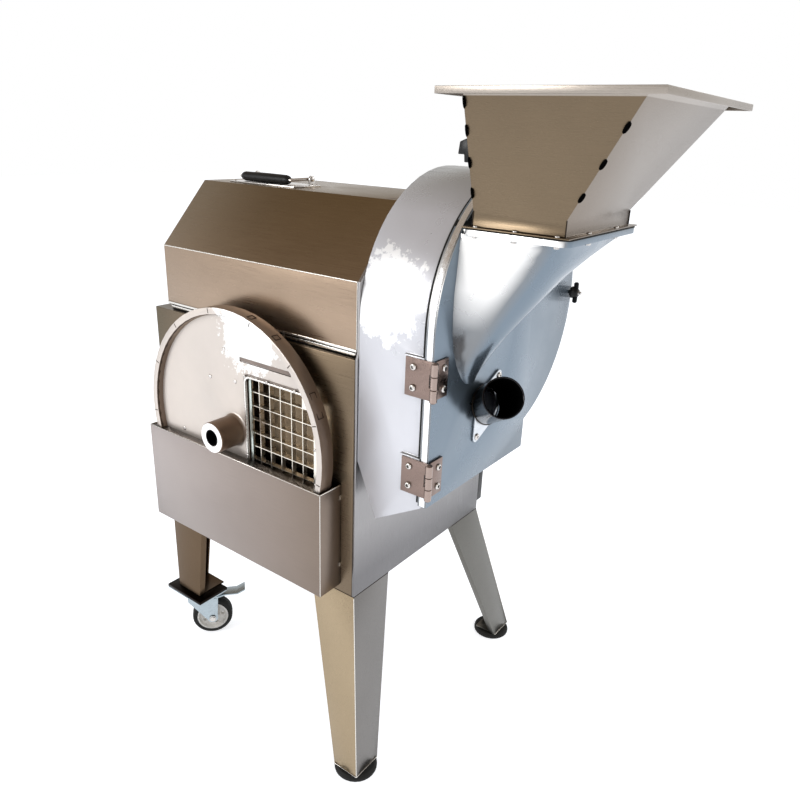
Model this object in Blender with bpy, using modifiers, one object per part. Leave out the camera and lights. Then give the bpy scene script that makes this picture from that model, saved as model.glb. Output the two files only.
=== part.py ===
# Vegetable cutter: a stainless cabinet on two splayed legs and two braked casters, with a cast
# slicing housing on its right end, a hinged cast door that carries the chute and hopper, and a
# spare dicing disc standing in a sheet pocket on the front. Metres, +Z up, front towards -Y.
# Places below are given from the cabinet: x = 0 is its right face, y = 0 its front, z = 0 the floor.

import math

import bmesh
import bpy
from mathutils import Euler, Matrix, Vector

# Cabinet and sheet metal
CABINET_WIDTH = 0.520
CABINET_DEPTH = 0.426
CABINET_BOTTOM = 0.332
CABINET_TOP = 0.778
SHEET = 0.002
LEDGE = 0.034
FLOOR_SHEET = 0.003
END_PLATE = 0.005
END_PLATE_PROUD = 0.002
GAP = 0.0003
SERVICE_LOW = (-0.430, 0.420)
SERVICE_HIGH = (-0.110, 0.720)
SERVICE_OVERLAP = 0.015
LOUVRES = 8
LOUVRE_HEIGHT = 0.006

# Hood
SEAL_HEIGHT = 0.0104
SEAL_WIDTH = 0.012
HOOD_SETBACK = 0.0056
HOOD_LEFT_SETBACK = 0.034
HOOD_SIDE_HEIGHT = 0.112
HOOD_TOP = 1.016
HOOD_FLAT_FRONT = 0.110
HOOD_FLAT_REAR = 0.316
HOOD_HINGE_XS = (-0.400, -0.100)
HOOD_HINGE_LENGTH = 0.050
HOOD_HINGE_PIN = 0.0025
HOOD_HINGE_BARREL = 0.005

# Folding handle on the hood
HANDLE_LEFT = -0.425
HANDLE_RIGHT = -0.265
HANDLE_PIVOT_Y = 0.186
HANDLE_REACH = 0.046
HANDLE_ROD = 0.003
HANDLE_PIVOT_RISE = 0.0125
HANDLE_BASE_SIDE = 0.005
HANDLE_BASE_FRONT = 0.014
HANDLE_BASE_REAR = 0.012
HANDLE_BASE_SHEET = 0.0025
GRIP_RADIUS = 0.009
EAR = 0.003
EAR_RADIUS = 0.007
EAR_INSET = 0.006

# Pocket and spare dicing disc
POCKET_LEFT = -0.4955
POCKET_RIGHT = -0.032
POCKET_FRONT = -0.0534
POCKET_BOTTOM = 0.347
POCKET_TOP = 0.548
POCKET_FLOOR = 0.373
DISC_RADIUS = 0.2257
DISC_X = -0.258
DISC_FRONT = -0.048
DISC_DEPTH = 0.028
DISC_RIM = 0.012
DISC_WEB = 0.005
DISC_RECESS = 0.013
HUB_RADIUS = 0.023
HUB_BORE = 0.0125
HUB_REACH = 0.041
WINDOW_LEFT = 0.032
WINDOW_TOP = 0.112
WINDOW_BOTTOM = -0.110
GRID_PITCH = 0.026
GRID_BLADE = 0.0014
GRID_DEPTH = 0.0095
GRID_FRAME = 0.008

# Legs, feet and casters
LEG_SHEET = 0.003
LEG_LIP = 0.014
LEG_TOP_WIDTH = 0.102
LEG_FOOT_WIDTH_X = 0.053
LEG_FOOT_WIDTH_Y = 0.061
LEG_SPLAY_X = 0.072
LEG_SPLAY_Y = 0.071
LEFT_LEG_TOP_WIDTH = 0.098
LEFT_LEG_FOOT_WIDTH = 0.071
FOOT_RADIUS = 0.040
FOOT_HEIGHT = 0.0116
FOOT_STUD = 0.004
CASTER_HEIGHT = 0.118
CASTER_PLATE = (0.113, 0.077, 0.003)
CASTER_SOLE = 0.006
CASTER_IN_X = 0.034
CASTER_IN_Y = 0.023
CASTER_TRAIL = 0.030
CASTER_HEADING = 50
WHEEL_RADIUS = 0.045
WHEEL_WIDTH = 0.030
TYRE_THICKNESS = 0.010
AXLE_RADIUS = 0.004
FORK_SHEET = 0.003

# Cast housing, door, chute and port
SHAFT_Y = 0.229
SHAFT_Z = 0.842
HOUSING_RADIUS = 0.2265
HOUSING_DEPTH = 0.130
HOUSING_WALL = 0.0075
NECK_WIDTH = 0.3035
MOUTH_BACK_Z = 0.604
MOUTH_LOW_X = 0.042
MOUTH_LOW_Z = 0.509
MOUTH_FRONT_Z = 0.560
DOOR_PROUD = 0.0064
DOOR_THICKNESS = 0.0157
DOOR_WALL = 0.007
DOOR_BOTTOM = 0.569
CHUTE_WALL = 0.007
FLANGE_RISE = 0.152
FLANGE_TOP = SHAFT_Z + FLANGE_RISE
FLANGE_THICKNESS = 0.008
FLANGE_LEFT_GAP = 0.002
FLANGE_LENGTH = 0.162
FLANGE_FRONT = 0.043
FLANGE_REAR = 0.294
FLANGE_CORNER = 0.015
PORT_Y = 0.1625
PORT_Z = 0.6945
PORT_RADIUS = 0.030
PORT_WALL = 0.0025
PORT_LENGTH = 0.130
PORT_STUB = 0.030
PORT_TILT = 54
PORT_TILT_SIDE = 147
PORT_BOLT_SPREAD = 0.0555
PORT_PLATE = 0.003

# Hopper
GASKET = 0.0014
NECK_INSET = 0.011
NECK_HEIGHT = 0.023
HOPPER_RISE = 0.177
HOPPER_REACH = 0.104
HOPPER_SIDE_FLARE = 0.007
HOPPER_FRONT_FLARE = 0.059
HOPPER_REAR_FLARE = 0.052
LIP_WIDTH = 0.023
LIP_DROP = 0.009

# Door hinges and latch
HINGE_HEIGHT = 0.060
HINGE_LEAF = 0.0025
HINGE_LOWS = (0.587, 0.749)
HINGE_PIN_X = 0.0055
HINGE_PIN_OUT = 0.0045
HINGE_BARREL = 0.005
HINGE_PIN = 0.0025
HINGE_BACK = 0.032
HINGE_FACE = 0.033
LATCH_PIVOT_X = 0.104
LATCH_ROD = 0.0035
LATCH_KNOB_RADIUS = 0.011
LATCH_KNOB_LENGTH = 0.014

# Drive
SHAFT_RADIUS = 0.015
BEARING_RADIUS = 0.031
BEARING_WIDTH = 0.016
SPIGOT_RADIUS = 0.0345
HOUSING_TUBE = 0.075
DISC_CARRIER_RADIUS = 0.032
SLICER_CLEARANCE = 0.007
SLICER_RADIUS = HOUSING_RADIUS - HOUSING_WALL - SLICER_CLEARANCE
SLICER_X = 0.112
SLICER_THICKNESS = 0.007
KNIFE_INNER = 0.055
KNIFE_END = 0.027
KNIFE_LENGTH = SLICER_RADIUS - KNIFE_INNER - KNIFE_END
KNIFE_WIDTH = 0.030
PULLEY_X = -0.118
PULLEY_WIDTH = 0.022
DRIVEN_RADIUS = 0.070
MOTOR_PULLEY_RADIUS = 0.036
BELT_DEPTH = 0.009
BELT_WIDTH = 0.013
MOTOR_Z = 0.430
MOTOR_RADIUS = 0.062
MOTOR_LENGTH = 0.200
MOTOR_SHAFT = 0.009
MOTOR_BASE = 0.008
MOTOR_BASE_WIDTH = 0.150
MOTOR_BASE_INSET = 0.030
MOTOR_FOOT_WIDTH = 0.116
MOTOR_FOOT_THICKNESS = 0.024
MOTOR_FOOT_INSET = 0.060
TERMINAL_BOX_WIDTH = 0.060
TERMINAL_BOX_DEPTH = 0.040
TERMINAL_BOX_INSET = 0.055

# Switch box on the rear
SWITCH_LEFT = -0.060
SWITCH_WIDTH = 0.052
SWITCH_BOTTOM = 0.341
SWITCH_HEIGHT = 0.085
SWITCH_DEPTH = 0.034
BUTTON_RADIUS = 0.011
BUTTON_PROUD = 0.006


def clear_scene():
    for item in list(bpy.data.objects):
        bpy.data.objects.remove(item, do_unlink=True)


def new_collection(name):
    group = bpy.data.collections.new(name)
    bpy.context.scene.collection.children.link(group)
    return group


clear_scene()
PARTS = new_collection("vegetable_cutter")
CUTTERS = new_collection("cutters")


def empty(name, place=(0, 0, 0), home=None, turn=(0, 0, 0)):
    marker = bpy.data.objects.new(name, None)
    marker.empty_display_size = 0.05
    marker.location = place
    marker.rotation_euler = Euler([math.radians(angle) for angle in turn])
    marker.parent = home
    bpy.context.scene.collection.objects.link(marker)
    return marker


MACHINE = empty("machine_origin")


def finish_material(name, colour, metallic, roughness):
    paint = bpy.data.materials.new(name)
    paint.use_nodes = True
    shader = paint.node_tree.nodes["Principled BSDF"]
    shader.inputs["Base Color"].default_value = (*colour, 1)
    shader.inputs["Metallic"].default_value = metallic
    shader.inputs["Roughness"].default_value = roughness
    paint.diffuse_color = (*colour, 1)
    return paint


STAINLESS = finish_material("brushed_stainless", (0.55, 0.50, 0.46), 1.0, 0.32)
CAST = finish_material("cast_aluminium", (0.70, 0.73, 0.77), 0.8, 0.35)
BRIGHT = finish_material("bright_steel", (0.75, 0.75, 0.76), 1.0, 0.2)
ZINC = finish_material("zinc_plate", (0.62, 0.68, 0.72), 1.0, 0.3)
RUBBER = finish_material("black_rubber", (0.02, 0.02, 0.02), 0.0, 0.7)
PLASTIC = finish_material("black_plastic", (0.015, 0.015, 0.016), 0.0, 0.4)
NYLON = finish_material("wheel_nylon", (0.72, 0.71, 0.68), 0.0, 0.5)
GREY_PAINT = finish_material("grey_enamel", (0.25, 0.29, 0.33), 0.0, 0.45)
GREEN = finish_material("green_button", (0.03, 0.35, 0.08), 0.0, 0.4)
RED = finish_material("red_button", (0.55, 0.03, 0.02), 0.0, 0.4)


# Making shapes

def add_object(name, mesh, home=None, paint=None, place=(0, 0, 0), turn=None):
    piece = bpy.data.objects.new(name, mesh)
    piece.location = place
    if turn is not None:
        piece.rotation_euler = turn.to_euler()
    piece.parent = home or MACHINE
    group = PARTS if paint else CUTTERS
    group.objects.link(piece)
    if paint:
        mesh.materials.append(paint)
    else:
        piece.hide_render = True
        piece.display_type = "WIRE"
    return piece


def mesh_from(name, bm):
    bmesh.ops.recalc_face_normals(bm, faces=bm.faces)
    mesh = bpy.data.meshes.new(name)
    bm.to_mesh(mesh)
    bm.free()
    return mesh


def block(name, low, high, home=None, paint=None):
    size = [b - a for a, b in zip(low, high)]
    middle = [(a + b) / 2 for a, b in zip(low, high)]
    bm = bmesh.new()
    bmesh.ops.create_cube(bm, size=1, matrix=Matrix.Diagonal((*size, 1)))
    return add_object(name, mesh_from(name, bm), home, paint, middle)


def rod(name, start, end, radius, home=None, paint=None, steps=24):
    start = Vector(start)
    run = Vector(end) - start
    bm = bmesh.new()
    bmesh.ops.create_cone(bm, cap_ends=True, segments=steps, radius1=radius, radius2=radius,
                          depth=run.length)
    mesh = mesh_from(name, bm)
    turn = Vector((0, 0, 1)).rotation_difference(run).to_matrix()
    piece = add_object(name, mesh, home, paint, start + run / 2, turn)
    smooth(piece)
    return piece


def smooth(piece, angle=40):
    piece.data.shade_smooth()
    piece.data.set_sharp_from_angle(angle=math.radians(angle))


AXIS_TURN = {
    "Z": Matrix.Identity(3),
    "X": Matrix(((0, 0, 1), (0, 1, 0), (-1, 0, 0))),
    "Y": Matrix(((1, 0, 0), (0, 0, 1), (0, -1, 0))),
}


def turned(name, profile, centre, axis="Z", home=None, paint=None, steps=32):
    """Profile points are (radius, distance along the axis), outer side first, top to bottom."""
    mesh = bpy.data.meshes.new(name)
    closed = profile[0][0] > 0
    count = len(profile)
    edges = [(i, i + 1) for i in range(count - 1)]
    if closed:
        edges.append((count - 1, 0))
    mesh.from_pydata([(r, 0, z) for r, z in profile], edges, [])
    piece = add_object(name, mesh, home, paint, centre, AXIS_TURN[axis])
    screw = piece.modifiers.new("turn", "SCREW")
    screw.steps = steps
    screw.render_steps = steps
    screw.use_merge_vertices = True
    screw.merge_threshold = 0.00001
    screw.use_smooth_shade = False
    return piece


def arc(centre, radius, start, end, count):
    angles = [math.radians(start + (end - start) * i / count) for i in range(count + 1)]
    return [(centre[0] + radius * math.cos(a), centre[1] + radius * math.sin(a)) for a in angles]


def rounded(corners, radius, count=4):
    """The outline of a polygon with its corners rounded to one radius."""
    points = []
    total = len(corners)
    for i, corner in enumerate(corners):
        here = Vector(corner)
        back = (Vector(corners[i - 1]) - here).normalized()
        on = (Vector(corners[(i + 1) % total]) - here).normalized()
        half = back.angle(on) / 2
        reach = radius / math.tan(half)
        middle = here + (back + on).normalized() * (radius / math.sin(half))
        first = here + back * reach - middle
        last = here + on * reach - middle
        swing = first.angle_signed(last)
        for k in range(count + 1):
            turn = Matrix.Rotation(-swing * k / count, 2)
            points.append(tuple(middle + turn @ first))
    return points


def rectangle(x0, x1, y0, y1):
    return [(x0, y0), (x1, y0), (x1, y1), (x0, y1)]


PLANE_TURN = {
    "xy": Matrix.Identity(3),
    "yz": Matrix(((0, 0, 1), (1, 0, 0), (0, 1, 0))),
    "xz": Matrix(((1, 0, 0), (0, 0, -1), (0, 1, 0))),
}
PLANE_NORMAL = {"xy": "z", "yz": "x", "xz": "y"}


def extruded(name, loops, plane, span, home=None, paint=None):
    """A flat outline, with any holes as further loops, given depth along its plane's normal."""
    curve = bpy.data.curves.new(name + "_outline", "CURVE")
    curve.dimensions = "2D"
    curve.fill_mode = "BOTH"
    curve.extrude = (span[1] - span[0]) / 2
    for loop in loops:
        spline = curve.splines.new("POLY")
        spline.points.add(len(loop) - 1)
        for point, (u, v) in zip(spline.points, loop):
            point.co = (u, v, 0, 1)
        spline.use_cyclic_u = True
    guide = bpy.data.objects.new(name + "_outline", curve)
    bpy.context.scene.collection.objects.link(guide)
    bpy.context.view_layer.update()
    flat = bpy.data.meshes.new_from_object(guide.evaluated_get(bpy.context.evaluated_depsgraph_get()))
    bpy.data.objects.remove(guide, do_unlink=True)
    bm = bmesh.new()
    bm.from_mesh(flat)
    bpy.data.meshes.remove(flat)
    bmesh.ops.remove_doubles(bm, verts=bm.verts, dist=0.00001)
    place = [0, 0, 0]
    place["xyz".index(PLANE_NORMAL[plane])] = (span[0] + span[1]) / 2
    return add_object(name, mesh_from(name, bm), home, paint, place, PLANE_TURN[plane])


def loft(name, rings, home=None, paint=None, closed=False):
    """A solid through rings of points, each ring with as many points as the next."""
    bm = bmesh.new()
    rows = [[bm.verts.new(point) for point in ring] for ring in rings]
    pairs = list(zip(rows, rows[1:]))
    if closed:
        pairs.append((rows[-1], rows[0]))
    for lower, upper in pairs:
        for i in range(len(lower)):
            k = (i + 1) % len(lower)
            bm.faces.new((lower[i], lower[k], upper[k], upper[i]))
    if not closed:
        bm.faces.new(rows[0])
        bm.faces.new(rows[-1])
    return add_object(name, mesh_from(name, bm), home, paint)


def sheet_piece(name, path, plane, span, thickness, home=None, paint=None, side=1):
    """Folded sheet: an open path swept along the plane's normal and thickened to one side."""
    bm = bmesh.new()
    ends = []
    turn = PLANE_TURN[plane].to_4x4()
    sign = -1 if plane == "xz" else 1
    for depth in span:
        ends.append([bm.verts.new(turn @ Vector((u, v, sign * depth))) for u, v in path])
    for i in range(len(path) - 1):
        bm.faces.new((ends[0][i], ends[0][i + 1], ends[1][i + 1], ends[1][i]))
    mesh = bpy.data.meshes.new(name)
    bm.to_mesh(mesh)
    bm.free()
    piece = add_object(name, mesh, home, paint)
    shell = piece.modifiers.new("sheet", "SOLIDIFY")
    shell.thickness = thickness
    shell.offset = side
    shell.use_even_offset = True
    return piece


def combine(piece, others, operation):
    for other in others:
        step = piece.modifiers.new(other.name, "BOOLEAN")
        step.operation = operation
        step.object = other
        step.solver = "EXACT"
    return piece


def cut(piece, *others):
    return combine(piece, others, "DIFFERENCE")


def join(piece, *others):
    return combine(piece, others, "UNION")


def keep(piece, *others):
    return combine(piece, others, "INTERSECT")


# Cabinet

def make_cabinet():
    left, right = -CABINET_WIDTH, -END_PLATE - GAP
    deep, low, top = CABINET_DEPTH, CABINET_BOTTOM, CABINET_TOP
    shell = block("cabinet_shell", (left, 0, low), (right, deep, top), paint=STAINLESS)
    inside = block("cabinet_inside", (left + SHEET, SHEET, low + FLOOR_SHEET),
                   (0.01, deep - SHEET, top - SHEET))
    mouth = block("cabinet_mouth", (left + LEDGE, LEDGE, top - 0.01),
                  (right - LEDGE, deep - LEDGE, top + 0.01))
    service = block("service_opening", (SERVICE_LOW[0], deep - 0.01, SERVICE_LOW[1]),
                    (SERVICE_HIGH[0], deep + 0.01, SERVICE_HIGH[1]))
    cut(shell, inside, mouth, service)


def make_service_panel():
    left, right = SERVICE_LOW[0] - SERVICE_OVERLAP, SERVICE_HIGH[0] + SERVICE_OVERLAP
    low, high = SERVICE_LOW[1] - SERVICE_OVERLAP, SERVICE_HIGH[1] + SERVICE_OVERLAP
    face = CABINET_DEPTH + GAP
    panel = block("rear_panel", (left, face, low), (right, face + SHEET, high), paint=STAINLESS)
    slot_left = SERVICE_LOW[0] + 0.03
    slot_right = SERVICE_HIGH[0] - 0.03
    pitch = (SERVICE_HIGH[1] - SERVICE_LOW[1]) / (2 * LOUVRES)
    for i in range(LOUVRES):
        z = SERVICE_LOW[1] + pitch * (i + 1)
        slot = block(f"louvre_slot_{i}", (slot_left, face - 0.01, z),
                     (slot_right, face + 0.01, z + LOUVRE_HEIGHT))
        cut(panel, slot)


def hood_outline(margin, low):
    """The hood's cross-section in (y, z), grown outwards by a margin."""
    front = HOOD_SETBACK - margin
    rear = CABINET_DEPTH - HOOD_SETBACK + margin
    shoulder = hood_bottom() + HOOD_SIDE_HEIGHT + margin * 0.4
    top = HOOD_TOP + margin
    return [(front, low), (rear, low), (rear, shoulder), (HOOD_FLAT_REAR + margin * 0.4, top),
            (HOOD_FLAT_FRONT - margin * 0.4, top), (front, shoulder)]


def hood_bottom():
    return CABINET_TOP + SEAL_HEIGHT + 2 * GAP


def make_end_plate():
    deep, low, top = CABINET_DEPTH, CABINET_BOTTOM, CABINET_TOP
    crown = hood_outline(END_PLATE_PROUD, hood_bottom())
    outline = [(0, low), (deep, low), (deep, top), *crown[1:], crown[0], (0, top)]
    bore = arc((SHAFT_Y, SHAFT_Z), SPIGOT_RADIUS + GAP, 0, 345, 23)
    extruded("end_plate", [outline, bore], "yz", (-END_PLATE, 0), paint=STAINLESS)


def make_hood():
    left = -CABINET_WIDTH + HOOD_LEFT_SETBACK
    right = -END_PLATE - 0.0013
    low = hood_bottom()
    hood = extruded("hood", [hood_outline(0, low)], "yz", (left, right), paint=STAINLESS)
    inner = hood_outline(-SHEET, low - 0.01)
    cut(hood, extruded("hood_inside", [inner], "yz", (left + SHEET, right + 0.01)))
    seal_low = CABINET_TOP + GAP
    outer = (left + 0.004, right - 0.006, HOOD_SETBACK + 0.004, CABINET_DEPTH - HOOD_SETBACK - 0.004)
    inner_ring = (outer[0] + SEAL_WIDTH, outer[1] - SEAL_WIDTH, outer[2] + SEAL_WIDTH,
                  outer[3] - SEAL_WIDTH)
    extruded("hood_seal", [rounded(rectangle(*outer), 0.004, 2), rectangle(*inner_ring)], "xy",
             (seal_low, seal_low + SEAL_HEIGHT), paint=RUBBER)
    return hood


def make_hood_hinge(index, x):
    """Rear butt hinge: the fixed leaf has the outer knuckles and the pin, the other the middle one."""
    axis_y = CABINET_DEPTH + HOOD_HINGE_BARREL + GAP
    axis_z = CABINET_TOP + SEAL_HEIGHT / 2
    half = HOOD_HINGE_LENGTH / 2
    third = HOOD_HINGE_LENGTH / 3
    thick = 0.0016
    back = CABINET_DEPTH + GAP
    fixed = block(f"hood_hinge_fixed_{index}", (x - half, back, axis_z - 0.036),
                  (x + half, back + thick, axis_z - HOOD_HINGE_BARREL - 0.001), paint=BRIGHT)
    pin = rod(f"hood_hinge_pin_{index}", (x - half, axis_y, axis_z), (x + half, axis_y, axis_z),
              HOOD_HINGE_PIN, steps=12)
    join(fixed, pin)
    for side in (-1, 1):
        a = x + side * half
        b = x + side * (half - third + 0.0004)
        knuckle = rod(f"hood_hinge_knuckle_{index}_{side}", (a, axis_y, axis_z), (b, axis_y, axis_z),
                      HOOD_HINGE_BARREL, steps=12)
        tongue = block(f"hood_hinge_tongue_{index}_{side}",
                       (min(a, b), back, axis_z - HOOD_HINGE_BARREL - 0.002),
                       (max(a, b), back + thick, axis_z))
        join(fixed, knuckle, tongue)
    wall = CABINET_DEPTH - HOOD_SETBACK + GAP
    seat = hood_bottom() + 0.004
    moving = block(f"hood_hinge_moving_{index}", (x - half, wall, seat),
                   (x + half, wall + thick, seat + 0.030), paint=BRIGHT)
    a, b = x - half + third + 0.0004, x + half - third - 0.0004
    barrel = rod(f"hood_hinge_barrel_{index}", (a, axis_y, axis_z), (b, axis_y, axis_z),
                 HOOD_HINGE_BARREL, steps=12)
    web = block(f"hood_hinge_web_{index}", (a, wall, seat), (b, axis_y + thick / 2, seat + thick))
    post = block(f"hood_hinge_post_{index}", (a, axis_y - thick / 2, axis_z),
                 (b, axis_y + thick / 2, seat + thick))
    bore = rod(f"hood_hinge_bore_{index}", (a - 0.01, axis_y, axis_z), (b + 0.01, axis_y, axis_z),
               HOOD_HINGE_PIN + GAP, steps=12)
    join(moving, web, post, barrel)
    cut(moving, bore)


def make_handle():
    """A folding bail: it lies on the hood's flat top and lifts on two ears."""
    base_low = HOOD_TOP + GAP
    pivot_z = base_low + HANDLE_PIVOT_RISE
    front = HANDLE_PIVOT_Y - HANDLE_REACH
    base = block("handle_base", (HANDLE_LEFT - HANDLE_BASE_SIDE, front - HANDLE_BASE_FRONT, base_low),
                 (HANDLE_RIGHT + HANDLE_BASE_SIDE, HANDLE_PIVOT_Y + HANDLE_BASE_REAR,
                  base_low + HANDLE_BASE_SHEET), paint=BRIGHT)
    inset = EAR_INSET
    ear_low = base_low + HANDLE_BASE_SHEET * 0.4
    for side, x in ((1, HANDLE_LEFT + inset), (-1, HANDLE_RIGHT - inset)):
        ear_span = (x, x + side * EAR)
        outline = arc((HANDLE_PIVOT_Y, pivot_z), EAR_RADIUS, 0, 180, 8)
        outline = [(HANDLE_PIVOT_Y + EAR_RADIUS, ear_low)] + outline
        outline.append((HANDLE_PIVOT_Y - EAR_RADIUS, ear_low))
        ear = extruded(f"handle_ear_{side}", [outline], "yz", (min(ear_span), max(ear_span)))
        join(base, ear)
    bore = rod("handle_bore", (HANDLE_LEFT - 0.02, HANDLE_PIVOT_Y, pivot_z),
               (HANDLE_RIGHT + 0.02, HANDLE_PIVOT_Y, pivot_z), HANDLE_ROD + GAP, steps=16)
    cut(base, bore)
    home = empty("handle_axis", (0, HANDLE_PIVOT_Y, pivot_z), MACHINE)
    grip_z = GRIP_RADIUS + HANDLE_BASE_SHEET + GAP - (pivot_z - base_low)
    arm_left = HANDLE_LEFT + inset + EAR + 0.006
    arm_right = HANDLE_RIGHT - inset - EAR - 0.006
    path = [(HANDLE_LEFT + inset - 0.001, 0, 0), (arm_left, 0, 0), (arm_left, -HANDLE_REACH, grip_z),
            (arm_right, -HANDLE_REACH, grip_z), (arm_right, 0, 0), (HANDLE_RIGHT - inset + 0.001, 0, 0)]
    bent_rod("handle_bail", path, HANDLE_ROD, home, BRIGHT)
    length = (arm_right - arm_left) / 2 - HANDLE_ROD - 0.001
    radius = GRIP_RADIUS
    bore_radius = HANDLE_ROD + GAP
    profile = [(radius - 0.002, length), (radius, length - 0.004), (radius, -length + 0.004),
               (radius - 0.002, -length), (bore_radius, -length), (bore_radius, length)]
    turned("handle_grip", profile, ((arm_left + arm_right) / 2, -HANDLE_REACH, grip_z), "X", home,
           PLASTIC, 20)


def bent_rod(name, path, radius, home, paint, steps=12):
    """A round rod along a bent line, each bend mitred."""
    points = [Vector(point) for point in path]
    run = (points[1] - points[0]).normalized()
    turn = Vector((0, 0, 1)).rotation_difference(run)
    circle = arc((0, 0), radius, 0, 360, steps)[:-1]
    ring = [points[0] + turn @ Vector((u, v, 0)) for u, v in circle]
    rings = [ring]
    for i in range(1, len(points)):
        onward = (points[i + 1] - points[i]).normalized() if i + 1 < len(points) else run
        mitre = (run + onward).normalized()
        ring = [p + run * ((points[i] - p).dot(mitre) / run.dot(mitre)) for p in ring]
        rings.append(ring)
        run = onward
    rod_piece = loft(name, rings, home, paint)
    smooth(rod_piece)
    return rod_piece


# Pocket and spare disc

def make_pocket():
    front, back = POCKET_FRONT, -GAP
    inner_front = front + SHEET
    left, right = POCKET_LEFT, POCKET_RIGHT
    pocket = block("disc_pocket", (left, front, POCKET_BOTTOM), (right, back, POCKET_TOP),
                   paint=STAINLESS)
    room = block("pocket_room", (left + SHEET, inner_front, POCKET_FLOOR),
                 (right - SHEET, back - SHEET, POCKET_TOP + 0.01))
    back_gap = block("pocket_back_gap", (left + LEG_LIP, inner_front, POCKET_FLOOR),
                     (right - LEG_LIP, 0.01, POCKET_TOP + 0.01))
    under = block("pocket_under", (left + SHEET, inner_front, POCKET_BOTTOM - 0.01),
                  (right - SHEET, 0.01, POCKET_FLOOR - SHEET))
    cut(pocket, room, back_gap, under)


def window_outline(margin, radius):
    """The disc's window in (x, z) from its centre: straight sides, closed by an arc by the rim."""
    left = WINDOW_LEFT - margin
    top = WINDOW_TOP + margin
    bottom = WINDOW_BOTTOM - margin
    start = math.degrees(math.asin(bottom / radius))
    end = math.degrees(math.asin(top / radius))
    return [(left, top), (left, bottom)] + arc((0, 0), radius, start, end, 16)


def make_spare_disc():
    home = empty("spare_disc_axis", (DISC_X, DISC_FRONT, POCKET_FLOOR + GAP + DISC_RADIUS), MACHINE)
    web_front = -DISC_RECESS
    web_back = -DISC_RECESS - DISC_WEB
    inner = DISC_RADIUS - DISC_RIM
    profile = [(HUB_BORE, HUB_REACH), (HUB_RADIUS - 0.001, HUB_REACH), (HUB_RADIUS, HUB_REACH - 0.001),
               (HUB_RADIUS, web_front), (inner - 0.002, web_front), (inner, 0),
               (DISC_RADIUS, 0), (DISC_RADIUS, -DISC_DEPTH),
               (inner, -DISC_DEPTH), (inner - 0.002, web_back), (HUB_RADIUS + 0.003, web_back),
               (HUB_RADIUS + 0.001, -DISC_DEPTH), (HUB_BORE, -DISC_DEPTH)]
    back_to_front = [(r, -z) for r, z in reversed(profile)]
    disc = turned("dicing_disc", back_to_front, (0, 0, 0), "Y", home, CAST, 60)
    window = extruded("disc_window", [window_outline(-0.004, inner - 0.004)], "xz", (-0.01, 0.05), home)
    slot = block("disc_slot", (0.020, -0.01, WINDOW_TOP + 0.022),
                 (0.145, DISC_RECESS + 0.003, WINDOW_TOP + 0.030), home)
    cut(disc, window, slot)
    depth = -web_back + GAP
    outline = window_outline(GRID_FRAME - 0.004, inner - 0.0035)
    holes = grid_cells(inner - 0.004 - GRID_FRAME)
    extruded("dicing_grid", [outline] + holes, "xz", (depth, depth + GRID_DEPTH), home, BRIGHT)


def grid_cells(radius):
    """Square openings of the dicing grid, those whole cells that lie inside the window."""
    cells = []
    half = (GRID_PITCH - GRID_BLADE) / 2
    x = WINDOW_LEFT + 0.004 + half
    while x + half < radius:
        z = WINDOW_TOP - 0.004 - half
        while z - half > WINDOW_BOTTOM:
            corner = math.hypot(x + half, max(abs(z + half), abs(z - half)))
            if corner < radius + 0.006:
                cells.append(rectangle(x - half, x + half, z - half, z + half))
            z -= GRID_PITCH
        x += GRID_PITCH
    return cells


# Legs and casters

def angle_section(corner, sx, sy, width_x, width_y, z):
    """A folded angle with return lips, seen from above, its outer corner at the given point."""
    x, y = corner
    t, lip = LEG_SHEET, LEG_LIP
    points = [(0, 0), (width_x, 0), (width_x, lip), (width_x - t, lip), (width_x - t, t), (t, t),
              (t, width_y - t), (lip, width_y - t), (lip, width_y), (0, width_y)]
    return [(x + sx * u, y + sy * v, z) for u, v in points]


def make_leg(name, corner, foot_corner, sx, sy, top_width, foot_widths, foot_z):
    top = CABINET_BOTTOM - 2 * GAP
    leg = loft(name, [angle_section(foot_corner, sx, sy, *foot_widths, foot_z),
                      angle_section(corner, sx, sy, top_width, top_width, top)], paint=STAINLESS)
    flange = angle_plate(name + "_flange", corner, sx, sy, top_width, top_width,
                         (top - LEG_SHEET, top + 0.0001))
    sole = angle_plate(name + "_sole", foot_corner, sx, sy, *foot_widths,
                       (foot_z - 0.0005, foot_z + LEG_SHEET))
    join(leg, flange, sole)
    return leg


def angle_plate(name, corner, sx, sy, width_x, width_y, heights):
    """A plate welded inside a folded angle, let into its sheet by half the thickness."""
    inset = LEG_SHEET / 2
    xs = sorted((corner[0] + sx * inset, corner[0] + sx * (width_x - inset)))
    ys = sorted((corner[1] + sy * inset, corner[1] + sy * (width_y - inset)))
    return block(name, (xs[0], ys[0], heights[0]), (xs[1], ys[1], heights[1]))


def make_foot(name, centre):
    """Rubber foot with its levelling stud, which passes up through the leg's sole."""
    top = FOOT_HEIGHT
    profile = [(0, top + 0.022), (FOOT_STUD, top + 0.022), (FOOT_STUD, top),
               (FOOT_RADIUS - 0.004, top), (FOOT_RADIUS, top * 0.6), (FOOT_RADIUS, 0.0015),
               (FOOT_RADIUS - 0.0015, 0), (0, 0)]
    turned(name, profile, (*centre, 0), "Z", None, RUBBER, 28)


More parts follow.
